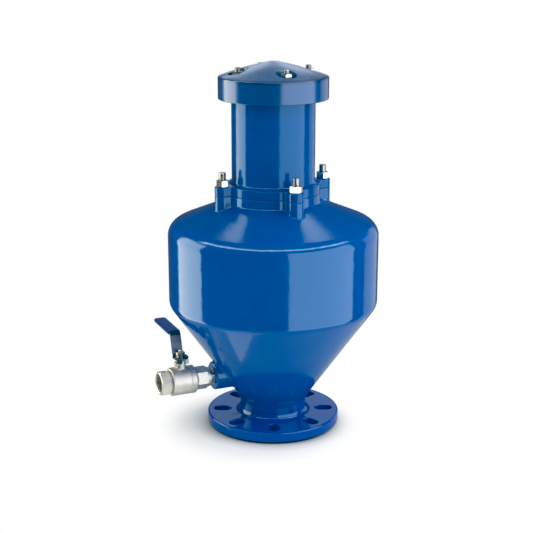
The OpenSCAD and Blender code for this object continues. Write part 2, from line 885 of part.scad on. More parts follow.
module obturator_disc() {
    color(float_grey)
        difference() {
            turned([
                [0, disc_hub_bottom, 0], [disc_hub_r, disc_hub_bottom, 1], [disc_hub_r, disc_bottom, 2],
                [disc_r, disc_bottom, 1], [disc_r, disc_top, 1], [0, disc_top, 0]]);
            translate([0, 0, disc_hub_bottom - over])
                cylinder(r = nozzle_r, h = disc_top - disc_hub_bottom + 2 * over);
        }
}

module nozzle() {
    color(bronze)
        difference() {
            union() {
                translate([0, 0, yoke_bottom - nozzle_hex_h])
                    cylinder(r = nozzle_r - fit_gap, h = disc_top - yoke_bottom + nozzle_hex_h);
                hex_bar(nozzle_hex_af, yoke_bottom - nozzle_hex_h, nozzle_hex_h);
                turned([
                    [0, nozzle_tip, 0], [nozzle_tip_r, nozzle_tip, 0.6], [nozzle_foot_r, yoke_bottom - 2, 0],
                    [0, yoke_bottom - 2, 0]]);
            }
            translate([0, 0, nozzle_tip - over]) cylinder(d = nozzle_d, h = disc_top - nozzle_tip + 2 * over);
        }
}

module yoke() {
    leg_bottom = pin_z - 10;
    color(stainless)
        difference() {
            union() {
                ring(nozzle_r + 0.1, disc_hub_r, yoke_bottom, yoke_t);
                for (side = [-1, 1])
                    translate([
                        -yoke_leg_w / 2, side * (yoke_leg_y + yoke_leg_t / 2) - yoke_leg_t / 2, leg_bottom])
                        cube([yoke_leg_w, yoke_leg_t, yoke_bottom + yoke_t - leg_bottom]);
            }
            // Slot in which the cross pin lifts
            rotate([90, 0, 0]) translate([0, pin_z, -disc_hub_r - over]) {
                slot_r = pin_r + run_gap;
                through = 2 * disc_hub_r + 2 * over;
                cylinder(r = slot_r, h = through);
                translate([0, float_lift, 0]) cylinder(r = slot_r, h = through);
                translate([-slot_r, 0, 0]) cube([2 * slot_r, float_lift, through]);
            }
        }
}

module rod_head() {
    color(stainless)
        difference() {
            turned([
                [0, head_bottom, 0], [head_r, head_bottom, 2], [head_r, head_top, 1], [0, head_top, 0]]);
            translate([0, 0, head_top - pad_sunk]) cylinder(r = pad_r, h = pad_sunk + over);
            translate([0, 0, head_bottom - over]) cylinder(d = rod_d, h = rod_socket + over);
            translate([0, 0, pin_z]) rotate([90, 0, 0]) cylinder(r = pin_r, h = pin_len, center = true);
        }
}

module nozzle_pad() {
    color(rubber_black)
        translate([0, 0, head_top - pad_sunk])
            cylinder(r = pad_r - fit_gap, h = pad_top - head_top + pad_sunk);
}

module cross_pin() {
    color(stainless)
        translate([0, 0, pin_z]) rotate([90, 0, 0]) cylinder(r = pin_r - fit_gap, h = pin_len, center = true);
}

module float_rod() {
    color(stainless)
        translate([0, 0, rod_bottom])
            cylinder(d = rod_d - 2 * fit_gap, h = head_bottom + rod_socket - rod_bottom);
}

module main_float() {
    color(float_grey)
        difference() {
            turned([
                [0, float_z, 0], [float_end_r, float_z, 0],
                [float_d / 2, float_z + float_end_rise, float_rounding],
                [float_d / 2, float_top - float_end_rise, float_rounding],
                [float_end_r, float_top, 0], [0, float_top, 0]]);
            translate([0, 0, float_z - over]) cylinder(d = rod_d, h = float_len + 2 * over);
        }
}

// Washer and nut 1 lie on the float, washer and nut 2 under it
module float_washer(i) {
    color(stainless)
        washer(
            rod_d + 0.6, rod_d * washer_share, i == 1 ? float_top : float_z - float_washer_t, float_washer_t);
}

module float_nut(i) {
    z = i == 1 ? float_top + float_washer_t : float_z - float_washer_t - float_nut_h;
    color(stainless) hex_nut(rod_d * nut_af_share, rod_d, z, float_nut_h);
}

body();
upper_cover();
joint_o_ring();
guide_spider();
guide_bush();
seat_ring();
seat_o_ring();
seat_gasket();
cap();
drain_nipple();
valve_end();
valve_body();
thrust_washer();
stem_packing();
gland_nut();
ball();
stem();
lever();
lever_grip();
lever_washer();
lever_nut();
obturator_disc();
nozzle();
yoke();
rod_head();
nozzle_pad();
cross_pin();
float_rod();
main_float();
for (i = [1:4]) {
    joint_stud(i);
    joint_nut(i);
    cap_spacer(i);
    cap_stud(i);
    cap_washer(i);
    cap_nut(i);
}
for (i = [1:2]) {
    ball_seat(i);
    float_washer(i);
    float_nut(i);
}
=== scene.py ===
# Looks of the air release valve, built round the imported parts. All lengths are in metres.
import json
import math

import bmesh
import bpy
from mathutils import Matrix, Vector


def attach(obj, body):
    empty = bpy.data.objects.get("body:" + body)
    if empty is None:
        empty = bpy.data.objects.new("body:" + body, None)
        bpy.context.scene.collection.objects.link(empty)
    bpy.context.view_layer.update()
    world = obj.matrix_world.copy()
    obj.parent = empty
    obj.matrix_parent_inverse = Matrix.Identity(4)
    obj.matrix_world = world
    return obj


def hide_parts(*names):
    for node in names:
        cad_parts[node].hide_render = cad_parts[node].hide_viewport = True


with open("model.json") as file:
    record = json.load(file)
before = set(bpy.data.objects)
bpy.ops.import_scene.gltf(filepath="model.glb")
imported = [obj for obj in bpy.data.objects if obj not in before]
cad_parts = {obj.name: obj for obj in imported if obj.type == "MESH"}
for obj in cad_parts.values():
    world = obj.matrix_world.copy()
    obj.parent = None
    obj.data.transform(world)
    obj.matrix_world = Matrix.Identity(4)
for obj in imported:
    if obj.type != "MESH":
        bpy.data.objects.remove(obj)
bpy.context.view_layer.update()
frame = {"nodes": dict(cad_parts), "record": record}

# Chamber casting
INLET_R = 0.045
RAISED_R = 0.078
RAISED_H = 0.003
FLANGE_R = 0.110
FLANGE_TOP = 0.019
WAIST_R = 0.0545
CONE_FOOT = 0.043
BELLY_R = 0.1715
CONE_TOP = 0.210
BELLY_TOP = 0.340
NECK_R = 0.0765
SHOULDER_Z = 0.379
JOINT_Z = 0.394
WALL = 0.008
NECK_OPEN_R = 0.062
SPIDER_R = 0.066
SPIDER_T = 0.005
CONE_RUN = (BELLY_R - WAIST_R) / (CONE_TOP - CONE_FOOT)
SHOULDER_FALL = (SHOULDER_Z - BELLY_TOP) / (BELLY_R - NECK_R)
RAISED_EDGE = 0.0004
FLANGE_FOOT_EDGE = 0.0015
FLANGE_EDGE = 0.0025
WAIST_FILLET = 0.009
CONE_FOOT_FILLET = 0.020
BELLY_FOOT_EDGE = 0.0206
BELLY_TOP_EDGE = 0.024
RIDGE_H = 0.0005
RIDGE_W = 0.0016
RIDGE_FROM = WAIST_R + 0.0085

# Slotted bolt holes of the flange
SLOT_COUNT = 8
SLOT_R = 0.0095
SLOT_HALF = 0.005
SLOT_AT = 0.085
SLOT_LIP = 0.0012

# Lobed joint
LOBE_R = 0.088
LOBE_END = 0.0125
LOBE_ROOT = 0.006
COLLAR_R = 0.112
COLLAR_FILLET = 0.003
JOINT_HOLE_R = 0.006
JOINT_HOLE_DEPTH = 0.020
SEAL_IN_R = 0.0686
SEAL_OUT_R = 0.0726
SEAL_DEPTH = 0.0035
JOINT_EDGE = 0.0011
COVER_PLAN_R = 0.076
COVER_BASE_TOP = 0.409
COVER_EDGE = 0.002
COVER_R = 0.067
COVER_FILLET = 0.0065
COVER_FOOT_R = 0.0755
COVER_TOP_EDGE = 0.001
COVER_WAY_R = 0.00675
COVER_TOP = 0.552
COVER_BORE_R = 0.059
COVER_RING_R = 0.049
COVER_RING_Z = 0.528
COVER_RING_SLOPE = 0.010
RIB_R = 0.0515
RIB_HALF = 0.003
RIB_FOOT = 0.402
RIB_TOP = 0.526
LEDGE_R = 0.045
LEDGE_HALF = 0.004
LEDGE_Z = 0.478
LEDGE_T = 0.010
RIB_EDGE = 0.0008

# Hood over the outlet
CAP_R = 0.088
CAP_SKIRT = 0.544
CAP_RIM = 0.579
CAP_PEAK = 0.603
CAP_WALL = 0.006
CAP_CEILING = 0.570
CAP_TIP_R = 0.010
CAP_TIP_DROP = 0.0012
CAP_SWELL = 0.0017
CAP_STUD_R = 0.059
CAP_TURN = math.radians(-4)
CAP_RIM_EDGE = 0.003
CAP_SKIRT_EDGE = 0.0015
CAP_INNER_EDGE = 0.0012
CAP_CEILING_FILLET = 0.005
CAP_HOLLOW_R = 0.045
CAP_HOLLOW_RUN = 0.010
CAP_HOLLOW_RISE = 0.012
CAP_HOLLOW_PEAK = 0.022
CAP_HOLLOW_EDGE = 0.003
CAP_HOLE_R = 0.005
CAP_HOLE_DEPTH = 0.018
CAP_WAY_R = 0.00575
RECESS_R = 0.016
RECESS_LIP = 0.0012
RECESS_FLOOR_R = 0.0145

# Fasteners of the joint and of the hood
JOINT_STUD_R = 0.0059
JOINT_PITCH = 0.00175
JOINT_STUD_FOOT = JOINT_Z - 0.0199
JOINT_THREAD_FROM = COVER_BASE_TOP + 0.008
JOINT_STUD_TOP = COVER_BASE_TOP + 0.023
JOINT_NUT_AF = 0.018
JOINT_NUT_H = 0.0106
JOINT_NUT_TURNS = (12, 40, 3, 22)
HOOD_STUD_R = 0.0049
HOOD_PITCH = 0.0015
HOOD_STUD_FOOT = COVER_TOP - 0.0179
HOOD_THREAD_FROM = CAP_RIM + 0.0085
HOOD_STUD_TOP = CAP_RIM + 0.016
HOOD_WASHER_IN_R = 0.0053
HOOD_WASHER_R = 0.010
HOOD_WASHER_T = 0.002
HOOD_NUT_AF = 0.017
HOOD_NUT_BORE_R = 0.005
HOOD_NUT_H = 0.008
HOOD_NUT_TURNS = (20, 50, 8, 33)
THREAD_DEPTH = 0.61
STUD_DOME = 0.45
STUD_LEAD = 0.0006
HEX_ROUND = 0.965
HEX_TRIM = 0.0549

# Drain boss and ball valve, as distances along the drain
DRAIN_Z = 0.093
BOSS_R = 0.023
BOSS_END = 0.109
BOSS_EDGE = 0.002
BOSS_FILLET = 0.005
BOSS_LEAST = 0.0008
DRAIN_FROM = 0.04
NIPPLE_SEAT = 0.087
NIPPLE_R = 0.0132
NIPPLE_CREST = 0.01315
NIPPLE_ROOT = 0.0120
NIPPLE_LEAD = 0.0012
NIPPLE_FROM = 0.088
NIPPLE_TO = 0.1305
PIPE_PITCH = 0.001814
PIPE_BORE_R = 0.0095
PORT_R = 0.010
END_FROM = 0.116
END_SOCKET = 0.131
END_SINK = 0.0006
END_COLLAR_EDGE = 0.0012
END_COLLAR_R = 0.016
END_HEX_AF = 0.033
END_HEX_FROM = 0.1204
END_HEX_TURN = math.radians(15)
TAPER_FROM = 0.138
TAPER_TO = 0.143
SEAM = 0.1515
SEAM_EDGE = 0.0006
SPIGOT_R = 0.017
SPIGOT_GAP = 0.00005
SPIGOT_END = 0.156
POCKET_R = 0.01405
POCKET_NEAR = 0.151
POCKET_FAR = 0.177
CAVITY_R = 0.0155
CAVITY_END = 0.1716
BARREL_R = 0.023
BARREL_STOP = 0.1835
BARREL_EDGE = 0.001
BARREL_STOP_EDGE = 0.0018
GROOVE_R = 0.0176
OUT_HEX_AF = 0.037
OUT_HEX_FROM = 0.185
OUT_HEX_TURN = math.radians(45)
OUTLET = 0.202
OUTLET_INNER = 0.187
OUTLET_PITCH = 0.00231
OUTLET_CREST = 0.0152
OUTLET_ROOT = 0.0166
OUTLET_LEAD = 0.0012
OUTLET_RUNOUT = 0.001
MOUTH_R = 0.0170

# Stem and lever, as heights above the flange face
STEM_U = 0.164
STEM_R = 0.005
STEM_HOLE_R = 0.0053
STEM_COLLAR_R = 0.0066
STEM_COLLAR_Z = 0.1085
STEM_COLLAR_TOP = 0.111
STEM_EDGE = 0.0003
STEM_FLATS_FROM = 0.1318
STEM_FLATS_TO = 0.135
STEM_POCKET_R = 0.007
STEM_POCKET_TOP = 0.112
STEM_HOLE_TOP = 0.117
STEM_BOSS_R = 0.0084
STEM_BOSS_TOP = 0.129
STEM_BOSS_FILLET = 0.003
STEM_BOSS_EDGE = 0.0006
GLAND_R = 0.00655
GLAND_FROM = 0.123
GLAND_AF = 0.015
GLAND_TOP = 0.1315
GLAND_SINK = 0.0005
GLAND_TURN = math.radians(20)
EAR_EDGE = 0.0009
EAR_LOW = (0.0074, -0.003, 0.1197)
EAR_HIGH = (0.0145, 0.003, 0.1282)
EAR_ANGLES = (math.radians(207.7), math.radians(14.3))
PLATE_R = 0.013
PLATE_Z = 0.132
LEVER_T = 0.0025
LEVER_W = 0.018
LEVER_Z = PLATE_Z + LEVER_T / 2
LEVER_GAP = 0.00006
LEVER_EDGE = 0.0004
LEVER_FROM = 0.0065
FOOT_BEND_Y = 0.0135
FOOT_BEND_R = 0.004
BEND_R = 0.005
BEND_Y = 0.0245
BEND_Z = 0.16625
LEVER_REACH = 0.103
LEVER_TIP_Z = 0.16685
LEVER_TIP_R = 0.005
FLAT_R = 0.0046
FLAT_HALF = 0.0035
FLAT_GAP = 0.0001
TAB_LOW = (0.0105, -0.004, 0.1255)
TAB_HIGH = (0.0127, 0.004, LEVER_Z)
TAB_ANGLE = math.radians(246)
STEM_THREAD_R = 0.0034
STEM_THREAD_ROOT = 0.0028
STEM_THREAD_FROM = 0.1352
STEM_PITCH = 0.001
STEM_TOP = 0.146
TANG_LOW = (-0.0055, -0.0025, 0.104)
TANG_HIGH = (0.0055, 0.0025, 0.109)
LEVER_WASHER_IN_R = 0.0036
LEVER_WASHER_R = 0.008
LEVER_WASHER_T = 0.0015
LEVER_NUT_AF = 0.013
LEVER_NUT_BORE_R = 0.0035
LEVER_NUT_H = 0.0065
LEVER_NUT_TURN = math.radians(35)
GRIP_W = 0.021
GRIP_T = 0.0054
GRIP_FROM = 0.0285
GRIP_TO = 0.1055
GRIP_TIP_R = 0.006
GRIP_EDGE = 0.0018
GRIP_ROOM = 0.0001

# Smoothness of the meshes, and how far a cutter stands out of what it cuts
VALVE_SIDES = 120
FINE_ANGLE = 28
MERGE = 0.000002
CLEAR = 0.002


def select_none():
    if bpy.context.mode != "OBJECT":
        bpy.ops.object.mode_set(mode="OBJECT")
    bpy.ops.object.select_all(action="DESELECT")


def select_only(piece):
    select_none()
    piece.select_set(True)
    bpy.context.view_layer.objects.active = piece


def rounded(corners, steps=8, longest=0.03):
    """Points along an outline of corners (x, z, radius), with arcs at the corners and no long gaps."""
    points = []
    for i, (x, z, radius) in enumerate(corners):
        here = Vector((x, z))
        if radius == 0:
            points.append(here)
            continue
        back = (Vector(corners[i - 1][:2]) - here).normalized()
        ahead = (Vector(corners[i + 1][:2]) - here).normalized()
        half = back.angle(ahead) / 2
        centre = here + (back + ahead).normalized() * radius / math.sin(half)
        start = (here + back * radius / math.tan(half) - centre) / radius
        stop = (here + ahead * radius / math.tan(half) - centre) / radius
        points += [centre + start.slerp(stop, k / steps) * radius for k in range(steps + 1)]
    filled = [points[0]]
    for point in points[1:]:
        gap = (point - filled[-1]).length
        count = max(1, math.ceil(gap / longest))
        last = filled[-1]
        filled += [last.lerp(point, (k + 1) / count) for k in range(count)]
    return filled


def level(radius, height):
    """A round ring."""
    return lambda angle: (radius, height)


def levels(points):
    return [level(p[0], p[1]) for p in points]


def shape_ring(mesh, ring):
    """Moves the selected loop onto a ring, which gives a radius and a height at each angle."""
    work = bmesh.from_edit_mesh(mesh)
    for v in work.verts:
        if v.select:
            angle = math.atan2(v.co.y, v.co.x)
            radius, height = ring(angle)
            v.co = (radius * math.cos(angle), radius * math.sin(angle), height)
    bmesh.update_edit_mesh(mesh)


def spread(mesh, angles):
    """Moves the points of a fresh circle to the given angles, in order."""
    work = bmesh.from_edit_mesh(mesh)
    points = sorted(work.verts, key=lambda v: math.atan2(v.co.y, v.co.x))
    for v, angle in zip(points, sorted(angles)):
        v.co = (math.cos(angle), math.sin(angle), 0)
    bmesh.update_edit_mesh(mesh)


def quarter(steps):
    """Shares by which a rounded edge draws in and stays below, along a quarter turn."""
    turns = [math.pi / 2 * k / steps for k in range(steps + 1)]
    return [(1 - math.cos(a), 1 - math.sin(a)) for a in turns]


def curve(t, start, corner, end):
    """Value on a fillet's curve, which leaves its start and reaches its end in line with the corner."""
    return (1 - t) ** 2 * start + 2 * t * (1 - t) * corner + t * t * end


def start_edit(name):
    """Names the piece that was just added and opens it with everything selected."""
    piece = bpy.context.object
    piece.name = name
    bpy.ops.object.mode_set(mode="EDIT")
    bpy.ops.mesh.select_all(action="SELECT")
    return piece


def end_edit():
    """Turns all faces outwards and closes the piece."""
    bpy.ops.mesh.select_all(action="SELECT")
    bpy.ops.mesh.normals_make_consistent(inside=False)
    bpy.ops.object.mode_set(mode="OBJECT")


def modify(piece, kind, **settings):
    """Adds a modifier to the active piece and applies it."""
    step = piece.modifiers.new(kind.lower(), kind)
    for key, value in settings.items():
        setattr(step, key, value)
    bpy.ops.object.modifier_apply(modifier=step.name)


def ring_stack(name, rings, sides, closed=False, angles=None):
    """Adds a circle and extrudes it from ring to ring. A closed stack ends where it starts."""
    select_none()
    bpy.ops.mesh.primitive_circle_add(vertices=sides, radius=1.0)
    piece = start_edit(name)
    if angles:
        spread(piece.data, angles)
    shape_ring(piece.data, rings[0])
    for ring in rings[1:] + (rings[:1] if closed else []):
        bpy.ops.mesh.extrude_edges_move()
        shape_ring(piece.data, ring)
    bpy.ops.mesh.select_all(action="SELECT")
    if closed:
        bpy.ops.mesh.remove_doubles(threshold=MERGE)
    else:
        bpy.ops.mesh.fill_holes(sides=0)
    end_edit()
    return piece


def turned(name, outline, steps):
    """Draws a closed half section by extruding a vertex from point to point, and spins it about Z."""
    select_none()
    bpy.ops.mesh.primitive_plane_add(size=0.001)
    piece = start_edit(name)
    bpy.ops.mesh.merge(type="CENTER")
    path = [Vector((p[0], 0, p[1])) for p in outline]
    bpy.ops.transform.translate(value=path[0])
    for a, b in zip(path, path[1:]):
        bpy.ops.mesh.extrude_vertices_move(TRANSFORM_OT_translate={"value": b - a})
    bpy.ops.mesh.select_all(action="SELECT")
    bpy.ops.mesh.spin(steps=steps, angle=math.tau, center=(0, 0, 0), axis=(0, 0, 1))
    bpy.ops.mesh.select_all(action="SELECT")
    bpy.ops.mesh.remove_doubles(threshold=MERGE)
    end_edit()
    return piece


def bevelled_box(name, low, high, bevel):
    """A box between two corners, with its edges rounded."""
    select_none()
    bpy.ops.mesh.primitive_cube_add(size=1.0)
    piece = start_edit(name)
    bpy.ops.transform.resize(value=[b - a for a, b in zip(low, high)])
    bpy.ops.transform.translate(value=[(a + b) / 2 for a, b in zip(low, high)])
    bpy.ops.mesh.bevel(offset=bevel, segments=3, affect="EDGES")
    bpy.ops.object.mode_set(mode="OBJECT")
    return piece


def make_strip(name, line, width, thick, tip_r, edge):
    """Draws a strip along a side line of (y, z) points, rounds its tip and gives it thickness."""
    select_none()
    bpy.ops.mesh.primitive_plane_add(size=width)
    piece = start_edit(name)
    bpy.ops.transform.resize(value=(1, 0, 1))
    bpy.ops.mesh.remove_doubles(threshold=MERGE)
    bpy.ops.transform.translate(value=(0, line[0][0], line[0][1]))
    for a, b in zip(line, line[1:]):
        bpy.ops.mesh.extrude_edges_move(TRANSFORM_OT_translate={"value": (0, b[0] - a[0], b[1] - a[1])})
    bpy.ops.mesh.bevel(offset=tip_r, segments=8, affect="VERTICES")
    end_edit()
    modify(piece, "SOLIDIFY", thickness=thick, offset=0.0, use_even_offset=True)
    modify(piece, "BEVEL", width=edge, segments=4, limit_method="ANGLE", angle_limit=math.radians(50))
    return piece


def turn_copy(piece, name, angle):
    """A copy with its own mesh, turned about the valve's axis."""
    twin = piece.copy()
    twin.data = piece.data.copy()
    twin.name = name
    twin.data.transform(Matrix.Rotation(angle, 4, "Z"))
    bpy.context.scene.collection.objects.link(twin)
    return twin


def place(piece, location=(0, 0, 0), turn=(0, 0, 0)):
    """Turns and moves a piece and puts its place into its mesh."""
    select_only(piece)
    piece.rotation_euler = turn
    piece.location = location
    bpy.ops.object.transform_apply(location=True, rotation=True, scale=True)
    return piece


def along_drain(piece):
    """Lays a piece that was drawn along Z on the drain's axis."""
    return place(piece, (0, 0, DRAIN_Z), (0, -math.pi / 2, 0))


def at_stem(piece, angle=0.0):
    """Moves a piece that was drawn about the valve's axis to the drain valve's stem."""
    return place(piece, (-STEM_U, 0, 0), (0, 0, angle))


def combine(piece, others, operation):
    """Adds other solids to a piece, or cuts them from it."""
    select_only(others[0])
    for other in others:
        other.select_set(True)
    if len(others) > 1:
        bpy.ops.object.join()
    tool = bpy.context.object
    select_only(piece)
    modify(piece, "BOOLEAN", operation=operation, solver="EXACT", object=tool)
    bpy.data.objects.remove(tool)
    return piece


def smooth(piece, angle=32):
    """Smooth faces with crisp edges, and flat faces that stay flat beside roundings."""
    select_only(piece)
    bpy.ops.object.shade_smooth_by_angle(angle=math.radians(angle))
    modify(piece, "WEIGHTED_NORMAL", keep_sharp=True)
    return piece


def dress(piece, finish, slot, body, *nodes):
    """Gives a piece its finish, its body and the parts that it stands for."""
    piece.data.materials.clear()
    piece.data.materials.append(finish)
    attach(piece, body)
    if nodes:
        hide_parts(*nodes)
    return piece


# Finishes: sizes of the noises, and layers of paint as (size, detail, depth)
NOISE_LOW = 0.3
NOISE_HIGH = 0.7
CLOUD = 0.05
WAVE = (0.045, 1.0, 0.00012)
RIPPLE = (0.013, 1.0, 0.00015)
PEEL = (0.003, 2.0, 0.000014)
GRAIN = (0.0024, 3.0, 0.00008)
GRAIN_IN = 0.006
GRAIN_OUT = 0.004
FOOT_TONE = (FLANGE_TOP + 0.006, FLANGE_TOP + 0.03)
HOOD_WAVE_DEPTH = 0.00008
HOOD_GRAIN = (0.0016, 3.0, 0.00015)
# Heights over which painted shade darkens the hood's side towards its rim
HOOD_PAINTED_SHADE = (CAP_RIM - 0.006, CAP_RIM - 0.0025)
# Heights where the top's dust and painted sheen, its dull grain and its roughness begin
HOOD_TOP = (CAP_RIM - 0.0006, CAP_RIM + 0.0026)
STEEL_CLOUD = 0.012
MOULDED_CLOUD = 0.02


def fill_inputs(tree, node, inputs):
    """Sets a node's inputs, each to a value or by a link from a socket."""
    for name, value in inputs.items():
        if isinstance(value, bpy.types.NodeSocket):
            tree.links.new(value, node.inputs[name])
        else:
            node.inputs[name].default_value = value


def add_node(tree, kind, inputs, **settings):
    """Adds a shader node, makes its settings and fills its inputs."""
    node = tree.nodes.new("ShaderNode" + kind)
    for key, value in settings.items():
        setattr(node, key, value)
    fill_inputs(tree, node, inputs)
    return node


def new_finish(name):
    finish = bpy.data.materials.new(name)
    finish.use_nodes = True
    tree = finish.node_tree
    where = add_node(tree, "TexCoord", {}).outputs["Object"]
    return finish, tree, tree.nodes["Principled BSDF"], where


def add_noise(tree, where, size, detail, stretch=(1, 1, 1)):
    """Noise with features of about the given size, stretched along an axis if asked."""
    mapping = add_node(tree, "Mapping", {"Scale": stretch, "Vector": where})
    inputs = {"Scale": 1 / size, "Detail": detail, "Vector": mapping.outputs["Vector"]}
    return add_node(tree, "TexNoise", inputs).outputs["Fac"]


def add_range(tree, value, low, high):
    """A number between two limits, by a noise."""
    inputs = {"Value": value, "From Min": NOISE_LOW, "From Max": NOISE_HIGH, "To Min": low, "To Max": high}
    return add_node(tree, "MapRange", inputs).outputs["Result"]


def add_colours(tree, value, dark, light):
    """A colour between two, by a noise."""
    ramp = add_node(tree, "ValToRGB", {"Fac": value})
    low, high = ramp.color_ramp.elements
    low.position = NOISE_LOW
    low.color = (*dark, 1)
    high.position = NOISE_HIGH
    high.color = (*light, 1)
    return ramp.outputs["Color"]


def add_bump(tree, layers):
    """Bump from layers (noise, depth in metres), one on top of the other."""
    under = {}
    for value, depth in layers:
        bump = add_node(tree, "Bump", {"Strength": 1.0, "Distance": depth, "Height": value, **under})
        under = {"Normal": bump.outputs["Normal"]}
    return under["Normal"]


def add_mix(tree, share, a, b):
    """Colour between two colours or sockets, by a share from 0 to 1. Inputs 6 and 7 take the colours."""
    a, b = [(*value, 1) if isinstance(value, tuple) else value for value in (a, b)]
    return add_node(tree, "Mix", {"Factor": share, 6: a, 7: b}, data_type="RGBA").outputs[2]


def add_height(tree, where, low, high):
    """Share that goes from 0 to 1 between two heights on the piece."""
    height = add_node(tree, "SeparateXYZ", {"Vector": where}).outputs["Z"]
    return add_node(tree, "MapRange", {"Value": height, "From Min": low, "From Max": high}).outputs["Result"]


def add_maths(tree, operation, a, b):
    return add_node(tree, "Math", {0: a, 1: b}, operation=operation).outputs["Value"]


def blue_paint(name, dark, light, rough, gloss, tint, grainy=None, foot=None):
    """Glossy epoxy paint on cast iron: orange peel over an uneven casting.

    It is grainy between two heights and has another tone at its foot, if asked.
    """
    finish, tree, shader, where = new_finish(name)
    cloud = add_noise(tree, where, CLOUD, 3.0)
    layers = [(add_noise(tree, where, size, detail), depth) for size, detail, depth in (WAVE, RIPPLE, PEEL)]
    colour = add_colours(tree, cloud, dark, light)
    if foot:
        colour = add_mix(tree, add_height(tree, where, *FOOT_TONE), foot, colour)
    dull = add_range(tree, cloud, rough * 0.8, rough * 1.25)
    if grainy:
        above = add_height(tree, where, grainy[0], grainy[0] + GRAIN_IN)
        below = add_height(tree, where, grainy[1], grainy[1] - GRAIN_OUT)
        band = add_maths(tree, "MULTIPLY", above, below)
        grain = add_noise(tree, where, *GRAIN[:2])
        dull = add_mix(tree, band, dull, add_range(tree, grain, rough * 1.2, rough * 2.4))
        layers.append((add_maths(tree, "MULTIPLY", band, grain), GRAIN[2]))
    fill_inputs(tree, shader, {
        "Base Color": colour, "Roughness": dull, "Normal": add_bump(tree, layers),
        "Specular IOR Level": gloss, "Specular Tint": (*tint, 1)})
    return finish


def hood_paint(name):
    """The same paint under a clear coat, with painted shade as a dark band below the rim, and a dull grain on
    the sloping top in a lighter colour that is part dust and part painted sheen.
    """
    finish, tree, shader, where = new_finish(name)
    edge = add_height(tree, where, *HOOD_PAINTED_SHADE)
    top = add_height(tree, where, *HOOD_TOP)
    cloud = add_noise(tree, where, CLOUD, 3.0)
    wave = add_noise(tree, where, *WAVE[:2])
    grain = add_noise(tree, where, *HOOD_GRAIN[:2])
    side = add_colours(tree, cloud, (0.0, 0.044, 0.19), (0.0, 0.050, 0.21))
    # Part dust and part painted sheen: a lighter, greyer blue on the sloping top
    dust_and_sheen = add_colours(tree, grain, (0.028, 0.070, 0.178), (0.063, 0.110, 0.238))
    # Painted shade: the side turns dark navy towards the rim
    side = add_mix(tree, edge, side, (0.0, 0.026, 0.115))
    dull = add_colours(tree, grain, (0.14, 0.14, 0.14), (0.28, 0.28, 0.28))
    layers = [(wave, HOOD_WAVE_DEPTH), (add_maths(tree, "MULTIPLY", top, grain), HOOD_GRAIN[2])]
    fill_inputs(tree, shader, {
        "Base Color": add_mix(tree, top, side, dust_and_sheen),
        "Roughness": add_mix(tree, top, (0.22, 0.22, 0.22), dull), "Normal": add_bump(tree, layers),
        "Specular IOR Level": 0.8, "Specular Tint": (0.83, 0.88, 0.95, 1),
        "Coat Weight": 0.6, "Coat Roughness": 0.16})
    return finish


def grained(name, cloud_size, dark, light, rough, grain, depth, stretch, constants):
    """A finish with faint clouds of colour and a fine grain, and some inputs of the shader as constants."""
    finish, tree, shader, where = new_finish(name)
    fine = add_noise(tree, where, grain, 3.0, stretch)
    cloud = add_noise(tree, where, cloud_size, 3.0)
    fill_inputs(tree, shader, {
        "Base Color": add_colours(tree, cloud, dark, light), "Roughness": add_range(tree, fine, *rough),
        "Normal": add_bump(tree, [(fine, depth)]), **constants})
    return finish


def steel(name, dark, light, rough, grain, depth, stretch=(1, 1, 1)):
    """Metal with a fine grain, stretched along an axis if it is brushed."""
    return grained(name, STEEL_CLOUD, dark, light, rough, grain, depth, stretch, {"Metallic": 1.0})


def moulded(name, dark, light, rough, grain, depth, gloss=0.5):
    """Plastic or rubber with a faint mottle and a fine skin."""
    constants = {"Specular IOR Level": gloss}
    return grained(name, MOULDED_CLOUD, dark, light, rough, grain, depth, (1, 1, 1), constants)


PAINT = blue_paint(
    "chamber_paint", (0.0, 0.056, 0.268), (0.0, 0.064, 0.288), 0.10, 1.0, (0.57, 0.76, 0.82),
    grainy=(0.333, 0.377), foot=(0.004, 0.042, 0.285))
COVER_PAINT = blue_paint(
    "cover_paint", (0.0, 0.050, 0.237), (0.0, 0.058, 0.257), 0.14, 0.75, (0.52, 0.75, 0.86))
HOOD_PAINT = hood_paint("hood_paint")
STAINLESS = steel(
    "bright_stainless", (0.58, 0.57, 0.545), (0.70, 0.69, 0.665), (0.16, 0.30), 0.0012, 0.000006)
CAST_STEEL = steel("satin_casting", (0.61, 0.585, 0.535), (0.73, 0.705, 0.65), (0.44, 0.58), 0.0007, 0.00003)
# The lever's base is darker than bare steel: painted shade and painted dark reflections
LEVER_STEEL = steel(
    "lever_strip", (0.098, 0.094, 0.136), (0.142, 0.134, 0.184), (0.34, 0.46), 0.0006, 0.000006, (1, 0.08, 1))
VINYL = moulded("grip_vinyl", (0.004, 0.012, 0.16), (0.008, 0.019, 0.21), (0.28, 0.4), 0.002, 0.00002, 0.32)
RUBBER = moulded("seal_rubber", (0.012, 0.012, 0.012), (0.02, 0.02, 0.02), (0.5, 0.65), 0.001, 0.00001)
PTFE = moulded("white_ptfe", (0.78, 0.78, 0.75), (0.86, 0.86, 0.83), (0.35, 0.45), 0.002, 0.000006)
FLOAT_PLASTIC = moulded("float_plastic", (0.60, 0.62, 0.62), (0.70, 0.72, 0.72), (0.35, 0.5), 0.003, 0.00001)
BRONZE = steel("nozzle_bronze", (0.52, 0.33, 0.14), (0.62, 0.43, 0.20), (0.2, 0.34), 0.001, 0.000005)


# Castings

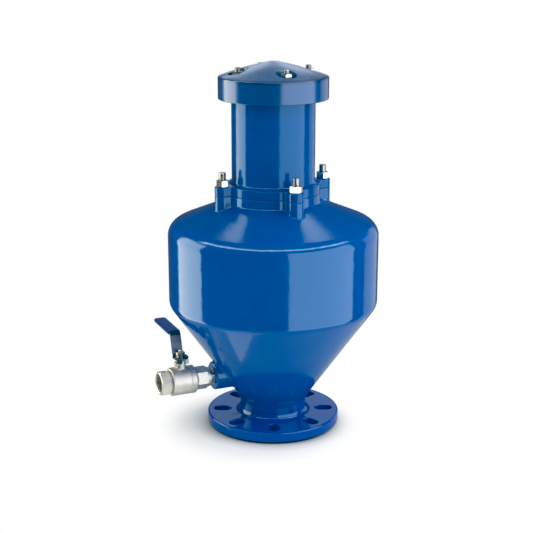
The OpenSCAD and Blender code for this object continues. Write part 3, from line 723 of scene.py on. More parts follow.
def lobed(angle, disc_r, grow=0.0):
    """Radius of the joint's plan: a disc with four straight-sided lobes, grown outwards by an amount."""
    off = abs((angle + math.pi / 4) % (math.pi / 2) - math.pi / 4)
    end = LOBE_END + grow
    disc = disc_r + grow
    root = max(LOBE_ROOT - grow, 0.0001)
    if off <= math.atan2(end, LOBE_R):
        return LOBE_R * math.cos(off) + math.sqrt(max(0.0, end ** 2 - (LOBE_R * math.sin(off)) ** 2))
    far = disc + root
    middle = math.asin((end + root) / far)
    if off >= middle:
        return disc
    if off <= math.atan2(end, far * math.cos(middle)):
        return end / math.sin(off)
    gap = middle - off
    return far * math.cos(gap) - math.sqrt(max(0.0, root ** 2 - (far * math.sin(gap)) ** 2))


def joint_angles():
    """Angles round the lobed joint, close together where a lobe's end, side and root turn."""
    root_x = math.sqrt((NECK_R + LOBE_ROOT) ** 2 - (LOBE_END + LOBE_ROOT) ** 2)
    root_y = LOBE_END + LOBE_ROOT
    middle = math.atan2(root_y, root_x)
    half = []
    for k in range(14):
        a = math.pi / 2 * k / 13
        half.append(math.atan2(LOBE_END * math.sin(a), LOBE_R + LOBE_END * math.cos(a)))
    for k in range(1, 6):
        half.append(math.atan2(LOBE_END, LOBE_R + (root_x - LOBE_R) * k / 5))
    for k in range(1, 9):
        a = -math.pi / 2 - (math.pi / 2 - middle) * k / 8
        half.append(math.atan2(root_y + LOBE_ROOT * math.sin(a), root_x + LOBE_ROOT * math.cos(a)))
    half += [middle + (math.pi / 4 - middle) * k / 32 for k in range(1, 33)]
    quarter = half + [math.pi / 2 - a for a in reversed(half[1:-1])]
    whole = [a + math.pi / 2 * k for k in range(4) for a in quarter]
    return [a - math.tau if a > math.pi else a for a in whole]


JOINT_ANGLES = joint_angles()


def casting(name, rings):
    """A closed stack whose points follow the lobed joint."""
    return ring_stack(name, rings, len(JOINT_ANGLES), True, JOINT_ANGLES)


def joint_edge(disc_r, edge, height, upward, steps=4):
    """Rings that round an edge of a lobed flange, ending or starting on the face at that height."""
    def ring(grow, z):
        return lambda angle: (lobed(angle, disc_r, grow), z)
    return [ring(-edge * inward, height - upward * edge * below) for inward, below in quarter(steps)]


def cone_radius(z):
    return WAIST_R + (z - CONE_FOOT) * CONE_RUN


def shoulder_height(r):
    return SHOULDER_Z - (r - NECK_R) * SHOULDER_FALL


def flange_ring(point):
    """A ring of the flange, with the faint parting ridge across its upper face."""
    r, z = point
    if r < RIDGE_FROM or abs(z - FLANGE_TOP) > MERGE:
        return level(r, z)
    return lambda angle: (r, z + RIDGE_H * math.exp(-(r * math.sin(angle) / RIDGE_W) ** 2))


def collar_fillet(t):
    """A ring of the fillet between the shoulder and the lobed collar, from 0 on the shoulder to 1."""
    def ring(angle):
        wall = lobed(angle, NECK_R)
        foot = lobed(angle, NECK_R, COLLAR_FILLET)
        corner = shoulder_height(wall)
        z = curve(t, shoulder_height(foot), corner, corner + COLLAR_FILLET)
        return lobed(angle, NECK_R, COLLAR_FILLET * (1 - t) ** 2), z
    return ring


def stadium(angle, half, end_r):
    """Radius of a slot's plan, seen from its middle."""
    c, s = abs(math.cos(angle)), abs(math.sin(angle))
    if end_r * c <= half * s:
        return end_r / s
    return half * c + math.sqrt(end_r ** 2 - (half * s) ** 2)


def slot_tool(name):
    """Cutter of one slotted bolt hole, flared at both faces so that the edges come out rounded."""
    def ring(grow, z):
        return lambda angle: (stadium(angle, SLOT_HALF, SLOT_R + grow), z)
    lip = SLOT_LIP
    rings = [ring(lip, -CLEAR)]
    rings += [ring(lip * below, RAISED_H + lip * inward) for inward, below in quarter(3)]
    rings += [ring(lip * inward, FLANGE_TOP - lip * below) for inward, below in quarter(3)]
    rings.append(ring(lip * 1.02, FLANGE_TOP + CLEAR))
    return place(ring_stack(name, rings, 56), (SLOT_AT, 0, 0))


def landed(radius, fillet, seat, steps=8):
    """Rings of a round boss where it leaves a curved seat, blended by a fillet that may change round it."""
    def sunk(depth):
        def ring(angle):
            r = radius + fillet(angle)
            return r, seat(angle, r) - depth
        return ring

    def blend(t):
        def ring(angle):
            size = fillet(angle)
            corner = seat(angle, radius)
            height = curve(t, seat(angle, radius + size), corner, corner + size)
            return radius + size * (1 - t) ** 2, height
        return ring

    return [sunk(CLEAR), sunk(0.0001)] + [blend(k / steps) for k in range(1, steps + 1)]


def top_edge(radius, top, edge):
    """Rings that round the upper edge of a boss."""
    return [level(radius - edge * inward, top - edge * below) for inward, below in quarter(5)]


def boss_rings():
    """Rings of the drain boss, which lands on the cone with a fillet."""
    def seat(angle, r):
        y = r * math.sin(angle)
        return math.sqrt(cone_radius(DRAIN_Z + r * math.cos(angle)) ** 2 - y * y)

    def fillet(angle):
        room = BOSS_END - BOSS_EDGE - seat(angle, BOSS_R)
        return min(BOSS_FILLET, max(BOSS_LEAST, 0.9 * room))

    return landed(BOSS_R, fillet, seat) + top_edge(BOSS_R, BOSS_END, BOSS_EDGE)


def bar_tool(name, r, low, high, sides=64):
    return ring_stack(name, [level(r, low), level(r, high)], sides)


def copies_of(first, count=4, turn=0.0):
    """Copies of a piece round the valve's axis, in place of the first."""
    copies = [turn_copy(first, first.name, turn + math.tau / count * k) for k in range(count)]
    bpy.data.objects.remove(first)
    return copies


def quarter_tools(name, distance, r, low, high, turn=0.0):
    """Four round cutters, one at each stud."""
    return copies_of(place(bar_tool(name, r, low, high, 48), (distance, 0, 0)), turn=turn)


def chamber_outside():
    """Rings from the inlet up the outside of the chamber and over the edge of the joint."""
    outline = rounded([
        (INLET_R, 0, 0), (RAISED_R, 0, RAISED_EDGE), (RAISED_R, RAISED_H, RAISED_EDGE),
        (FLANGE_R, RAISED_H, FLANGE_FOOT_EDGE), (FLANGE_R, FLANGE_TOP, FLANGE_EDGE),
        (WAIST_R, FLANGE_TOP, WAIST_FILLET), (WAIST_R, CONE_FOOT, CONE_FOOT_FILLET),
        (BELLY_R, CONE_TOP, BELLY_FOOT_EDGE), (BELLY_R, BELLY_TOP, BELLY_TOP_EDGE),
        (COLLAR_R, shoulder_height(COLLAR_R), 0)])
    rings = [flange_ring(p) for p in outline]
    rings += [collar_fillet(k / 7) for k in range(8)]
    return rings + joint_edge(NECK_R, JOINT_EDGE, JOINT_Z, 1)


def chamber_inside():
    """Rings from the seal's groove down the inside of the chamber to the inlet."""
    cone_wall = WALL * math.sqrt(1 + CONE_RUN ** 2)
    shoulder_wall = WALL * math.sqrt(1 + SHOULDER_FALL ** 2)
    belly_in = BELLY_R - WALL
    return levels([
        (SEAL_OUT_R, JOINT_Z), (SEAL_OUT_R, JOINT_Z - SEAL_DEPTH), (SEAL_IN_R, JOINT_Z - SEAL_DEPTH),
        (SEAL_IN_R, JOINT_Z), (SPIDER_R, JOINT_Z), (SPIDER_R, JOINT_Z - SPIDER_T),
        (NECK_OPEN_R, JOINT_Z - SPIDER_T), (NECK_OPEN_R, shoulder_height(NECK_OPEN_R) - shoulder_wall),
        (belly_in, shoulder_height(belly_in) - shoulder_wall),
        (belly_in, CONE_TOP + (cone_wall - WALL) / CONE_RUN), (INLET_R, CONE_FOOT)])


def make_chamber():
    chamber = casting("chamber_casting", chamber_outside() + chamber_inside())
    combine(chamber, [along_drain(ring_stack("boss", boss_rings(), 128))], "UNION")
    tools = copies_of(slot_tool("slot"), SLOT_COUNT, math.pi / SLOT_COUNT)
    tools += quarter_tools("stud_hole", LOBE_R, JOINT_HOLE_R, JOINT_Z - JOINT_HOLE_DEPTH, JOINT_Z + CLEAR)
    tools.append(along_drain(ring_stack("drain_hole", levels([
        (PORT_R, DRAIN_FROM), (PORT_R, NIPPLE_SEAT), (NIPPLE_R, NIPPLE_SEAT),
        (NIPPLE_R, BOSS_END + CLEAR)]), 96)))
    combine(chamber, tools, "DIFFERENCE")
    return dress(smooth(chamber), PAINT, "blue_paint", "casing", "body")


def cover_rings():
    """Rings from the cover's bore round its lobed base, up the cylinder and back into the bore."""
    shaft = rounded([
        (COVER_FOOT_R, COVER_BASE_TOP, 0), (COVER_R, COVER_BASE_TOP, COVER_FILLET),
        (COVER_R, COVER_TOP, COVER_TOP_EDGE), (COVER_RING_R, COVER_TOP, 0)])
    rings = [level(COVER_BORE_R, JOINT_Z)]
    rings += reversed(joint_edge(COVER_PLAN_R, JOINT_EDGE, JOINT_Z, -1))
    rings += joint_edge(COVER_PLAN_R, COVER_EDGE, COVER_BASE_TOP, 1, 6)
    rings += levels(shaft[1:])
    return rings + levels([(COVER_RING_R, COVER_RING_Z), (COVER_BORE_R, COVER_RING_Z - COVER_RING_SLOPE)])


def make_cover():
    cover = casting("cover_casting", cover_rings())
    wall_mid = (COVER_BORE_R + COVER_R) / 2
    rib = ("rib", RIB_R, RIB_HALF, RIB_FOOT, RIB_TOP)
    ledge = ("ledge", LEDGE_R, LEDGE_HALF, LEDGE_Z - LEDGE_T, LEDGE_Z)
    for name, inner, half, low, high in (rib, ledge):
        bar = bevelled_box(name, (inner, -half, low), (wall_mid, half, high), RIB_EDGE)
        combine(cover, copies_of(bar, turn=math.pi / 4), "UNION")
    tools = quarter_tools("stud_way", LOBE_R, COVER_WAY_R, JOINT_Z - CLEAR, COVER_BASE_TOP + CLEAR)
    tools += quarter_tools(
        "stud_hole", CAP_STUD_R, CAP_HOLE_R, COVER_TOP - CAP_HOLE_DEPTH, COVER_TOP + CLEAR, CAP_TURN)
    combine(cover, tools, "DIFFERENCE")
    return dress(smooth(cover), COVER_PAINT, "blue_paint", "casing", "upper_cover")


def hood_height(x, y):
    """Height of the hood's sloping top above a point."""
    share = (CAP_R - math.hypot(x, y)) / (CAP_R - CAP_TIP_R)
    return CAP_RIM + (CAP_PEAK - CAP_TIP_DROP - CAP_RIM) * share + CAP_SWELL * math.sin(math.pi * share)


def recess_tool(name):
    """Cutter of a nut recess, flared where it leaves the sloping top."""
    def ring(r, rise):
        def at(angle):
            return r, hood_height(CAP_STUD_R + r * math.cos(angle), r * math.sin(angle)) + rise
        return at
    lip = RECESS_LIP
    rings = levels([
        (RECESS_FLOOR_R, CAP_RIM), (RECESS_R - 0.0004, CAP_RIM + 0.0004), (RECESS_R, CAP_RIM + 0.0015)])
    rings += [ring(RECESS_R + lip * inward, -lip * below) for inward, below in quarter(4)]
    rings.append(ring(RECESS_R + lip * 1.1, 0.004))
    return place(ring_stack(name, rings, 72), (CAP_STUD_R, 0, 0))


def hood_outline():
    """Half section of the hood, from its tip down the outside and up again inside."""
    inner_r = CAP_R - CAP_WALL
    tip = [(CAP_TIP_R * k / 4, CAP_PEAK - CAP_TIP_DROP * (k / 4) ** 2, 0) for k in range(4)]
    reach = [CAP_TIP_R + (CAP_R - CAP_TIP_R) * k / 10 for k in range(10)]
    slope = [(r, hood_height(r, 0), 0) for r in reach]
    return rounded(tip + slope + [
        (CAP_R, CAP_RIM, CAP_RIM_EDGE), (CAP_R, CAP_SKIRT, CAP_SKIRT_EDGE),
        (inner_r, CAP_SKIRT, CAP_INNER_EDGE), (inner_r, CAP_CEILING, CAP_CEILING_FILLET),
        (CAP_HOLLOW_R, CAP_CEILING, CAP_HOLLOW_EDGE),
        (CAP_HOLLOW_R - CAP_HOLLOW_RUN, CAP_CEILING + CAP_HOLLOW_RISE, CAP_HOLLOW_EDGE),
        (0, CAP_CEILING + CAP_HOLLOW_PEAK, 0)])


def make_hood():
    hood = turned("hood_casting", hood_outline(), 256)
    tools = copies_of(recess_tool("recess"), turn=CAP_TURN)
    tools += quarter_tools("stud_way", CAP_STUD_R, CAP_WAY_R, CAP_CEILING - CLEAR, CAP_RIM + 0.001, CAP_TURN)
    combine(hood, tools, "DIFFERENCE")
    return dress(smooth(hood), HOOD_PAINT, "blue_paint", "casing", "cap")


# Threaded pieces and nuts

def thread(angle, height, pitch, root, crest):
    """Radius of a screw thread with flat crests and roots."""
    turn = (height / pitch - angle / math.tau) % 1.0
    rise = min(1.0, max(0.0, 1.5 * abs(2 * turn - 1) - 0.25))
    return root + (crest - root) * rise


def hexagon(angle, across_flats, corner=0.0):
    """Radius of a hexagon with a corner at the given angle."""
    sector = math.tau / 6
    return across_flats / 2 / math.cos((angle - corner) % sector - sector / 2)


def make_stud(name, r, pitch, bottom, thread_from, top):
    """Stud with a plain shank, a cut thread and a rounded end."""
    root = r - THREAD_DEPTH * pitch
    dome = r * STUD_DOME

    def ring(z):
        past = max(0.0, z - (top - dome))
        limit = r - dome + math.sqrt(max(0.0, dome ** 2 - past ** 2))
        fade = min(1.0, (z - thread_from) / pitch)
        return lambda angle: (min(limit, r + (thread(angle, z, pitch, root, r) - r) * fade), z)

    steps = math.ceil((top - thread_from) / pitch * 8)
    rings = levels([(r - STUD_LEAD, bottom), (r, bottom + STUD_LEAD)])
    rings += [ring(thread_from + (top - thread_from) * k / steps) for k in range(steps)]
    rings += [ring(top - dome * 0.02), level(r - dome * 0.96, top)]
    return ring_stack(name, rings, 40)


def hex_ring(across_flats, corner, height, share=1.0, least=0.0):
    """A ring of a hexagon whose corners are turned off: share 0 is round, share 1 is the whole hexagon."""
    edge = across_flats / 2 * HEX_ROUND
    reach = across_flats / math.sqrt(3)
    limit = edge + (reach - edge) * share
    return lambda angle: (max(least, min(hexagon(angle, across_flats, corner), limit)), height)


def hex_trim(across_flats):
    """Height of the turned-off corners at the end of a hexagon."""
    return across_flats * HEX_TRIM


def hex_wall(across_flats, corner, bottom, top, least=0.0):
    """Rings of a hexagon between two faces, with its corners turned off at both."""
    trim = hex_trim(across_flats)
    rings = [hex_ring(across_flats, corner, bottom + trim * k / 5, k / 5, least) for k in range(6)]
    rings += [hex_ring(across_flats, corner, top - trim * k / 5, k / 5, least) for k in range(5, -1, -1)]
    return rings


def make_nut(name, across_flats, bore_r, bottom, height, corner):
    """Hexagon nut with turned-off corners at both ends and a countersunk bore."""
    top = bottom + height
    sink = bore_r * 0.14
    rings = [level(bore_r + sink, bottom)] + hex_wall(across_flats, corner, bottom, top)
    rings += levels([(bore_r + sink, top), (bore_r, top - sink), (bore_r, bottom + sink)])
    return ring_stack(name, rings, 96, closed=True)


def make_washer(name, inner, outer, bottom, thick):
    bevel = thick * 0.18
    top = bottom + thick
    rings = levels([
        (inner, bottom), (outer - bevel, bottom), (outer, bottom + bevel), (outer, top - bevel),
        (outer - bevel, top), (inner, top)])
    return ring_stack(name, rings, 64, closed=True)


def at_quarters(first, distance, node, turns, start=0.0):
    """Copies a fastener to each stud, turned as it was tightened, and dresses the four."""
    for k in range(4):
        twin = turn_copy(first, "%s_%d" % (first.name, k + 1), math.radians(turns[k]))
        place(twin, (distance, 0, 0))
        twin.data.transform(Matrix.Rotation(start + math.pi / 2 * k, 4, "Z"))
        dress(smooth(twin, FINE_ANGLE), STAINLESS, "stainless", "casing", "%s_%d" % (node, k + 1))
    bpy.data.objects.remove(first)


def make_joint_fasteners():
    stud = make_stud(
        "threaded_joint_stud", JOINT_STUD_R, JOINT_PITCH, JOINT_STUD_FOOT, JOINT_THREAD_FROM, JOINT_STUD_TOP)
    at_quarters(stud, LOBE_R, "joint_stud", JOINT_NUT_TURNS)
    nut = make_nut("chamfered_joint_nut", JOINT_NUT_AF, JOINT_HOLE_R, COVER_BASE_TOP, JOINT_NUT_H, 0.0)
    at_quarters(nut, LOBE_R, "joint_nut", JOINT_NUT_TURNS)


def make_hood_fasteners():
    stud = make_stud(
        "threaded_cap_stud", HOOD_STUD_R, HOOD_PITCH, HOOD_STUD_FOOT, HOOD_THREAD_FROM, HOOD_STUD_TOP)
    at_quarters(stud, CAP_STUD_R, "cap_stud", HOOD_NUT_TURNS, CAP_TURN)
    washer = make_washer("bevelled_cap_washer", HOOD_WASHER_IN_R, HOOD_WASHER_R, CAP_RIM, HOOD_WASHER_T)
    at_quarters(washer, CAP_STUD_R, "cap_washer", HOOD_NUT_TURNS, CAP_TURN)
    nut = make_nut(
        "chamfered_cap_nut", HOOD_NUT_AF, HOOD_NUT_BORE_R, CAP_RIM + HOOD_WASHER_T, HOOD_NUT_H, 0.0)
    at_quarters(nut, CAP_STUD_R, "cap_nut", HOOD_NUT_TURNS, CAP_TURN)


# Drain valve

def thread_rings(start, stop, pitch, root, crest):
    """Rings of a pipe thread, from one height to another in either direction."""
    count = math.ceil(abs(stop - start) / pitch * 8)

    def ring(z):
        return lambda angle: (thread(angle, z, pitch, root, crest), z)
    return [ring(start + (stop - start) * k / count) for k in range(count + 1)]


def make_nipple():
    rings = levels([(PIPE_BORE_R, NIPPLE_FROM), (NIPPLE_ROOT, NIPPLE_FROM)])
    rings += thread_rings(
        NIPPLE_FROM + NIPPLE_LEAD, NIPPLE_TO - NIPPLE_LEAD, PIPE_PITCH, NIPPLE_ROOT, NIPPLE_CREST)
    rings += levels([(NIPPLE_ROOT, NIPPLE_TO), (PIPE_BORE_R, NIPPLE_TO)])
    nipple = along_drain(ring_stack("threaded_nipple", rings, VALVE_SIDES, closed=True))
    return dress(smooth(nipple, FINE_ANGLE), STAINLESS, "stainless", "casing", "drain_nipple")


def taper_ring(u):
    """A ring where the hexagon runs into the tapered end of the barrel."""
    cone = END_COLLAR_R + (BARREL_R - END_COLLAR_R) * (u - TAPER_FROM) / (TAPER_TO - TAPER_FROM)
    return hex_ring(END_HEX_AF, END_HEX_TURN, u, 1.0, cone)


def make_connector():
    rings = levels(rounded([
        (NIPPLE_R + END_SINK, END_FROM, 0), (END_COLLAR_R, END_FROM, END_COLLAR_EDGE),
        (END_COLLAR_R, END_HEX_FROM, 0)]))
    trim = hex_trim(END_HEX_AF)
    for k in range(1, 6):
        rings.append(hex_ring(END_HEX_AF, END_HEX_TURN, END_HEX_FROM + trim * k / 5, k / 5, END_COLLAR_R))
    rings += [taper_ring(TAPER_FROM + 0.0003 * k) for k in range(12)]
    spigot_r = SPIGOT_R - SPIGOT_GAP
    rings += levels(rounded([
        (BARREL_R - 0.0014, TAPER_TO - 0.001, 0), (BARREL_R, TAPER_TO, BARREL_EDGE),
        (BARREL_R, SEAM, SEAM_EDGE), (spigot_r, SEAM, 0), (spigot_r, SPIGOT_END, 0),
        (POCKET_R, SPIGOT_END, 0), (POCKET_R, POCKET_NEAR, 0), (PORT_R, POCKET_NEAR, 0),
        (PORT_R, END_SOCKET, 0), (NIPPLE_R, END_SOCKET, 0), (NIPPLE_R, END_FROM + END_SINK, 0)]))
    connector = along_drain(ring_stack("hexagon_connector", rings, VALVE_SIDES, closed=True))
    return dress(smooth(connector), CAST_STEEL, "cast_stainless", "casing", "valve_end")


def stem_boss():
    """The raised boss that carries the stem, with a fillet on the barrel."""
    def seat(angle, r):
        return DRAIN_Z + math.sqrt(BARREL_R ** 2 - (r * math.sin(angle)) ** 2)

    rings = landed(STEM_BOSS_R, lambda angle: STEM_BOSS_FILLET, seat)
    rings += top_edge(STEM_BOSS_R, STEM_BOSS_TOP, STEM_BOSS_EDGE)
    return at_stem(ring_stack("stem_boss", rings, 96))


def stem_hole():
    return at_stem(ring_stack("stem_hole", levels([
        (STEM_POCKET_R, DRAIN_Z), (STEM_POCKET_R, STEM_POCKET_TOP), (STEM_HOLE_R, STEM_POCKET_TOP),
        (STEM_HOLE_R, STEM_HOLE_TOP), (STEM_COLLAR_R, STEM_HOLE_TOP),
        (STEM_COLLAR_R, STEM_BOSS_TOP + CLEAR)]), 64))


def make_valve_body():
    barrel = rounded([
        (SPIGOT_R, SEAM, 0), (BARREL_R, SEAM, SEAM_EDGE), (BARREL_R, BARREL_STOP, BARREL_STOP_EDGE),
        (GROOVE_R, BARREL_STOP, 0), (GROOVE_R, OUT_HEX_FROM, 0)])
    rings = levels(barrel) + hex_wall(OUT_HEX_AF, OUT_HEX_TURN, OUT_HEX_FROM, OUTLET)
    rings.append(level(MOUTH_R, OUTLET))
    rings += thread_rings(
        OUTLET - OUTLET_LEAD, OUTLET_INNER + OUTLET_RUNOUT, OUTLET_PITCH, OUTLET_CREST, OUTLET_ROOT)
    rings += levels([
        (OUTLET_CREST, OUTLET_INNER), (PORT_R, OUTLET_INNER), (PORT_R, POCKET_FAR), (POCKET_R, POCKET_FAR),
        (POCKET_R, CAVITY_END), (CAVITY_R, CAVITY_END), (CAVITY_R, SPIGOT_END), (SPIGOT_R, SPIGOT_END)])
    valve = along_drain(ring_stack("ball_valve_casting", rings, VALVE_SIDES, closed=True))
    combine(valve, [stem_boss()], "UNION")
    for angle in EAR_ANGLES:
        combine(valve, [at_stem(bevelled_box("ear", EAR_LOW, EAR_HIGH, EAR_EDGE), angle)], "UNION")
    combine(valve, [stem_hole()], "DIFFERENCE")
    return dress(smooth(valve), CAST_STEEL, "cast_stainless", "casing", "valve_body")


def make_gland_nut():
    rings = levels([(STEM_HOLE_R, GLAND_FROM), (GLAND_R, GLAND_FROM), (GLAND_R, STEM_BOSS_TOP)])
    rings += hex_wall(GLAND_AF, GLAND_TURN, STEM_BOSS_TOP, GLAND_TOP)
    rings += levels([(STEM_HOLE_R + GLAND_SINK, GLAND_TOP), (STEM_HOLE_R, GLAND_TOP - GLAND_SINK)])
    gland = at_stem(ring_stack("gland_nut_turned", rings, 96, closed=True))
    return dress(smooth(gland, FINE_ANGLE), STAINLESS, "stainless", "casing", "gland_nut")


def flats(angle, grow=0.0):
    """Radius of the stem's flats, which carry the lever."""
    return min(FLAT_R + grow, (FLAT_HALF + grow) / max(abs(math.cos(angle)), 0.01))


def make_stem():
    def flat_ring(z):
        return lambda angle: (flats(angle), z)

    def end_ring(z):
        limit = STEM_THREAD_R - max(0.0, z - (STEM_TOP - 0.001)) * 0.8
        return lambda angle: (min(limit, thread(angle, z, STEM_PITCH, STEM_THREAD_ROOT, STEM_THREAD_R)), z)

    rings = levels([
        (STEM_COLLAR_R - STEM_EDGE, STEM_COLLAR_Z), (STEM_COLLAR_R, STEM_COLLAR_Z + STEM_EDGE),
        (STEM_COLLAR_R, STEM_COLLAR_TOP - STEM_EDGE), (STEM_COLLAR_R - STEM_EDGE, STEM_COLLAR_TOP),
        (STEM_R, STEM_COLLAR_TOP), (STEM_R, STEM_FLATS_FROM)])
    rings += [flat_ring(STEM_FLATS_FROM), flat_ring(STEM_FLATS_TO), level(STEM_THREAD_ROOT, STEM_FLATS_TO)]
    count = 88
    length = STEM_TOP - STEM_THREAD_FROM
    rings += [end_ring(STEM_THREAD_FROM + length * k / count) for k in range(count + 1)]
    stem = ring_stack("threaded_stem", rings, 64)
    combine(stem, [bevelled_box("tang", TANG_LOW, TANG_HIGH, LEVER_EDGE)], "UNION")
    return dress(smooth(at_stem(stem), FINE_ANGLE), STAINLESS, "stainless", "drain_lever", "stem")


def lever_plate():
    """The lever's round foot, with the hole that takes the stem's flats."""
    top = PLATE_Z + LEVER_T
    inner_r = PLATE_R - LEVER_EDGE

    def hole(z):
        return lambda angle: (flats(angle, FLAT_GAP), z)

    rings = [hole(PLATE_Z)]
    rings += levels([
        (inner_r, PLATE_Z), (PLATE_R, PLATE_Z + LEVER_EDGE), (PLATE_R, top - LEVER_EDGE), (inner_r, top)])
    rings.append(hole(top))
    return ring_stack("lever_foot", rings, 96, closed=True)


def bent_strip(name, width, thick):
    """A strip that follows the lever from its foot to its tip."""
    line = rounded([
        (LEVER_FROM, LEVER_Z, 0), (FOOT_BEND_Y, LEVER_Z, FOOT_BEND_R), (BEND_Y, BEND_Z, BEND_R),
        (LEVER_REACH, LEVER_TIP_Z, 0)], longest=1.0)
    return make_strip(name, line, width, thick, LEVER_TIP_R, LEVER_EDGE)


def make_lever():
    lever = bent_strip("bent_lever", LEVER_W, LEVER_T - LEVER_GAP)
    tab = place(bevelled_box("tab", TAB_LOW, TAB_HIGH, LEVER_EDGE), (0, 0, 0), (0, 0, TAB_ANGLE))
    combine(lever, [lever_plate()], "UNION")
    combine(lever, [tab], "UNION")
    return dress(smooth(at_stem(lever), FINE_ANGLE), LEVER_STEEL, "lever_steel", "drain_lever", "lever")


def make_grip():
    def on_line(y):
        return BEND_Z + (LEVER_TIP_Z - BEND_Z) * (y - BEND_Y) / (LEVER_REACH - BEND_Y)

    line = [(y, on_line(y)) for y in (GRIP_FROM, GRIP_TO)]
    grip = make_strip("dipped_grip", line, GRIP_W, GRIP_T, GRIP_TIP_R, GRIP_EDGE)
    combine(grip, [bent_strip("room", LEVER_W + GRIP_ROOM, LEVER_T + GRIP_ROOM)], "DIFFERENCE")
    return dress(smooth(at_stem(grip), 40), VINYL, "grip_vinyl", "drain_lever", "lever_grip")


def make_lever_fasteners():
    top = PLATE_Z + LEVER_T
    washer = make_washer("bevelled_lever_washer", LEVER_WASHER_IN_R, LEVER_WASHER_R, top, LEVER_WASHER_T)
    nut = make_nut(
        "chamfered_lever_nut", LEVER_NUT_AF, LEVER_NUT_BORE_R, top + LEVER_WASHER_T, LEVER_NUT_H,
        LEVER_NUT_TURN)
    for piece, node in ((washer, "lever_washer"), (nut, "lever_nut")):
        dress(smooth(at_stem(piece), FINE_ANGLE), STAINLESS, "stainless", "drain_lever", node)


def make_drain_valve():
    make_nipple()
    make_connector()
    make_valve_body()
    make_gland_nut()
    make_stem()
    make_lever()
    make_grip()
    make_lever_fasteners()


# Stage

CAMERA_AT = (-0.7667, -1.7384, 0.7956)
CAMERA_TILT = math.radians(90 - 15.53)
CAMERA_PAN = math.radians(-23.8 + 0.33)
CAMERA_LENS = 81.0
FRONT = Vector((CAMERA_AT[0], CAMERA_AT[1], 0)).normalized()
RIGHT = Vector((-FRONT.y, FRONT.x, 0))
STAGE_MID = Vector((0, 0, 0.3))
CARD_FAR = 2.6
ALL_BOUNCES = 8
FLOOR_CARD_AT = (-0.20, -0.12, 0.0006)
FLOOR_CARD_SIZE = (0.14, 0.18, 1)
FLOOR_GLOW = 0.17
FLOOR_DIM = 0.55
FLOOR_MIRROR_R = 0.42
# Painted contact shadow on the floor: its colour, and how far the occlusion reaches
FLOOR_PALE = (0.90, 0.90, 0.885, 1)
CONTACT_REACH = 0.03
# Centre and radii of the fade to glowing white, which paints out the floor's shadows farther away
SHADOW_MID = (-0.03, -0.01, 0)
SHADOW_FROM = 0.108
SHADOW_TO = 0.178
WORLD_DIFFUSE = (0.62, 0.62, 0.62, 1)
WORLD_GLOSSY = (0.125, 0.08, 0.072, 1)
WHITE = (1, 1, 1, 1)
FILM_BLACK = (0.035, 0.0, 0.0)


def direction(azimuth, elevation):
    """Direction from the object, in degrees to the right of the camera and above the floor."""
    a, e = math.radians(azimuth), math.radians(elevation)
    return (FRONT * math.cos(a) + RIGHT * math.sin(a)) * math.cos(e) + Vector((0, 0, math.sin(e)))


def make_camera():
    bpy.ops.object.camera_add(location=CAMERA_AT, rotation=(CAMERA_TILT, 0, CAMERA_PAN))
    camera = bpy.context.object
    camera.data.lens = CAMERA_LENS
    camera.data.sensor_width = 36.0
    bpy.context.scene.camera = camera


def light_card(card, radiance, tint, bounces=ALL_BOUNCES):
    """Makes a card shine in the object's gloss, up to a number of reflections."""
    glow = bpy.data.materials.new(card.name)
    glow.use_nodes = True
    tree = glow.node_tree
    tree.nodes.clear()
    path = add_node(tree, "LightPath", {})
    lit = add_maths(tree, "LESS_THAN", path.outputs["Glossy Depth"], bounces + 0.5)
    strength = add_maths(tree, "MULTIPLY", lit, radiance)
    emission = add_node(tree, "Emission", {"Color": (*tint, 1), "Strength": strength})
    add_node(tree, "OutputMaterial", {"Surface": emission.outputs["Emission"]})
    card.data.materials.append(glow)
    card.visible_camera = False
    card.visible_diffuse = False
    card.visible_shadow = False


def make_card(name, azimuths, elevations, radiance, tint=(1, 1, 1), bounces=ALL_BOUNCES, sag=0.0):
    """A curved soft box round the object, which may sag towards its ends."""
    select_none()
    bpy.ops.mesh.primitive_grid_add(x_subdivisions=16, y_subdivisions=8, size=2.0)
    card = bpy.context.object
    card.name = name
    for v in card.data.vertices:
        azimuth = azimuths[0] + (azimuths[1] - azimuths[0]) * (v.co.x + 1) / 2
        elevation = elevations[0] + (elevations[1] - elevations[0]) * (v.co.y + 1) / 2
        elevation -= sag * (azimuth / 100) ** 2
        v.co = STAGE_MID + direction(azimuth, elevation) * CARD_FAR
    light_card(card, radiance, tint, bounces)


def make_floor_card():
    """A white card under the drain valve, which lights the metal from below."""
    select_none()
    bpy.ops.mesh.primitive_plane_add(size=1.0, location=FLOOR_CARD_AT)
    card = bpy.context.object
    card.name = "floor_card"
    card.scale = FLOOR_CARD_SIZE
    light_card(card, 1.15, (1.0, 0.99, 0.95))


def make_lamp(name, azimuth, elevation, far, size, power):
    """A soft lamp that lights the object without showing in its gloss."""
    at = STAGE_MID + direction(azimuth, elevation) * far
    bpy.ops.object.light_add(type="AREA", location=at)
    lamp = bpy.context.object
    lamp.name = name
    lamp.rotation_euler = (STAGE_MID - at).to_track_quat("-Z", "Y").to_euler()
    lamp.data.size = size
    lamp.data.energy = power
    lamp.visible_camera = False
    lamp.visible_glossy = False


def add_blend(tree, share, a, b):
    """One shader or the other, by a share from 0 to 1."""
    return add_node(tree, "MixShader", {"Fac": share, 1: a, 2: b}).outputs["Shader"]


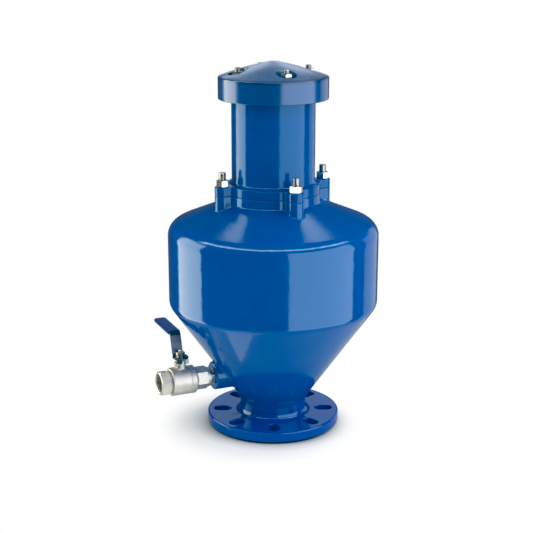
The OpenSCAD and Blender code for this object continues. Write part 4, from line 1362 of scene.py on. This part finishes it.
def make_world():
    """White to the camera, grey light for the object and a dark warm room in its gloss."""
    world = bpy.data.worlds.new("studio")
    world.use_nodes = True
    tree = world.node_tree
    tree.nodes.clear()
    path = add_node(tree, "LightPath", {})

    def backdrop(colour):
        return add_node(tree, "Background", {"Color": colour}).outputs["Background"]

    light = add_blend(tree, path.outputs["Is Glossy Ray"], backdrop(WORLD_DIFFUSE), backdrop(WORLD_GLOSSY))
    shown = add_blend(tree, path.outputs["Is Camera Ray"], light, backdrop(WHITE))
    add_node(tree, "OutputWorld", {"Surface": shown})
    bpy.context.scene.world = world


def floor_bounce(tree, shader, path, where):
    """The floor as the object sees it: white, dimmed in its gloss and left out of it farther away."""
    fill_inputs(tree, shader, {
        "Base Color": (0.9, 0.9, 0.9, 1), "Roughness": 1.0, "Specular IOR Level": 0.0,
        "Emission Color": WHITE, "Emission Strength": FLOOR_GLOW})
    glossy = path.outputs["Is Glossy Ray"]
    black = add_node(tree, "Emission", {"Strength": 0.0}).outputs["Emission"]
    near = add_blend(tree, add_maths(tree, "MULTIPLY", glossy, FLOOR_DIM), shader.outputs["BSDF"], black)
    far = add_node(tree, "VectorMath", {0: where}, operation="LENGTH").outputs["Value"]
    beyond = add_maths(tree, "GREATER_THAN", far, FLOOR_MIRROR_R)
    clear = add_node(tree, "BsdfTransparent", {}).outputs["BSDF"]
    return add_blend(tree, add_maths(tree, "MULTIPLY", beyond, glossy), near, clear)


def floor_shown(tree, where):
    """The floor as the camera sees it: pale, with a painted contact shadow where the flange stands, and
    glowing white farther away, which paints out its shadows there.
    """
    painted_contact_shadow = add_node(tree, "AmbientOcclusion", {"Color": FLOOR_PALE, "Distance": CONTACT_REACH})
    pale = add_node(tree, "BsdfDiffuse", {"Color": painted_contact_shadow.outputs["Color"]}).outputs["BSDF"]
    far = add_node(tree, "VectorMath", {0: where, 1: SHADOW_MID}, operation="DISTANCE").outputs["Value"]
    inputs = {"Value": far, "From Min": SHADOW_FROM, "From Max": SHADOW_TO}
    away = add_node(tree, "MapRange", inputs, interpolation_type="SMOOTHSTEP").outputs["Result"]
    return add_blend(tree, away, pale, add_node(tree, "Emission", {}).outputs["Emission"])


def make_floor():
    select_none()
    bpy.ops.mesh.primitive_plane_add(size=40, location=(0, 0, -0.0002))
    floor = bpy.context.object
    floor.name = "floor"
    white, tree, shader, where = new_finish("floor_white")
    path = add_node(tree, "LightPath", {})
    bounce = floor_bounce(tree, shader, path, where)
    shown = add_blend(tree, path.outputs["Is Camera Ray"], bounce, floor_shown(tree, where))
    fill_inputs(tree, tree.nodes["Material Output"], {"Surface": shown})
    floor.data.materials.append(white)


def set_film():
    """Plain display with the reds of the darkest tones held back, as in the photograph."""
    film = bpy.context.scene.view_settings
    film.view_transform = "Standard"
    film.use_curve_mapping = True
    film.curve_mapping.black_level = FILM_BLACK
    film.curve_mapping.update()


def make_stage():
    make_camera()
    make_world()
    make_floor()
    make_card("soft_box_right", (16, 93), (-50, 32), 2.6, (0.85, 0.89, 0.98))
    make_card("soft_box_left", (-81, -121), (-50, 32), 3.6, (1.05, 1.04, 0.90))
    make_card("glow_right", (113, 151), (-40, 20), 0.75)
    make_card("rear_card_low", (171, 189), (4, 20), 0.62, (0.95, 1.0, 1.4))
    make_card("rear_card_high", (168, 194.5), (22, 38), 1.1, (0.92, 1.0, 1.10))
    make_floor_card()
    make_card("top_card_left", (-152.5, -163.5), (48.5, 59.5), 2.3)
    make_card("top_card_right", (151.5, 162.5), (46.5, 59), 2.2)
    make_card("overhead_card", (-106, 108), (51.5, 58.5), 7.5, bounces=1, sag=11)
    make_lamp("lamp_left", -75, 30, 2.0, 1.2, 18)
    make_lamp("lamp_right", 70, 25, 2.0, 1.4, 26)
    make_lamp("lamp_top", 150, 70, 2.2, 1.6, 26)
    set_film()


# Parts that stay as they were packed get their finish only.
SLOT_FINISH = {
    "blue_paint": PAINT, "stainless": STAINLESS, "cast_stainless": CAST_STEEL, "lever_steel": LEVER_STEEL,
    "grip_vinyl": VINYL, "seal_rubber": RUBBER, "white_ptfe": PTFE, "float_plastic": FLOAT_PLASTIC,
    "nozzle_bronze": BRONZE,
}


def finish_parts():
    for part in frame["record"]["subparts"]:
        node = frame["nodes"][part["node"]]
        node.data.materials.clear()
        node.data.materials.append(SLOT_FINISH[part["material_slot"]])


make_stage()
finish_parts()
make_chamber()
make_cover()
make_hood()
make_joint_fasteners()
make_hood_fasteners()
make_drain_valve()
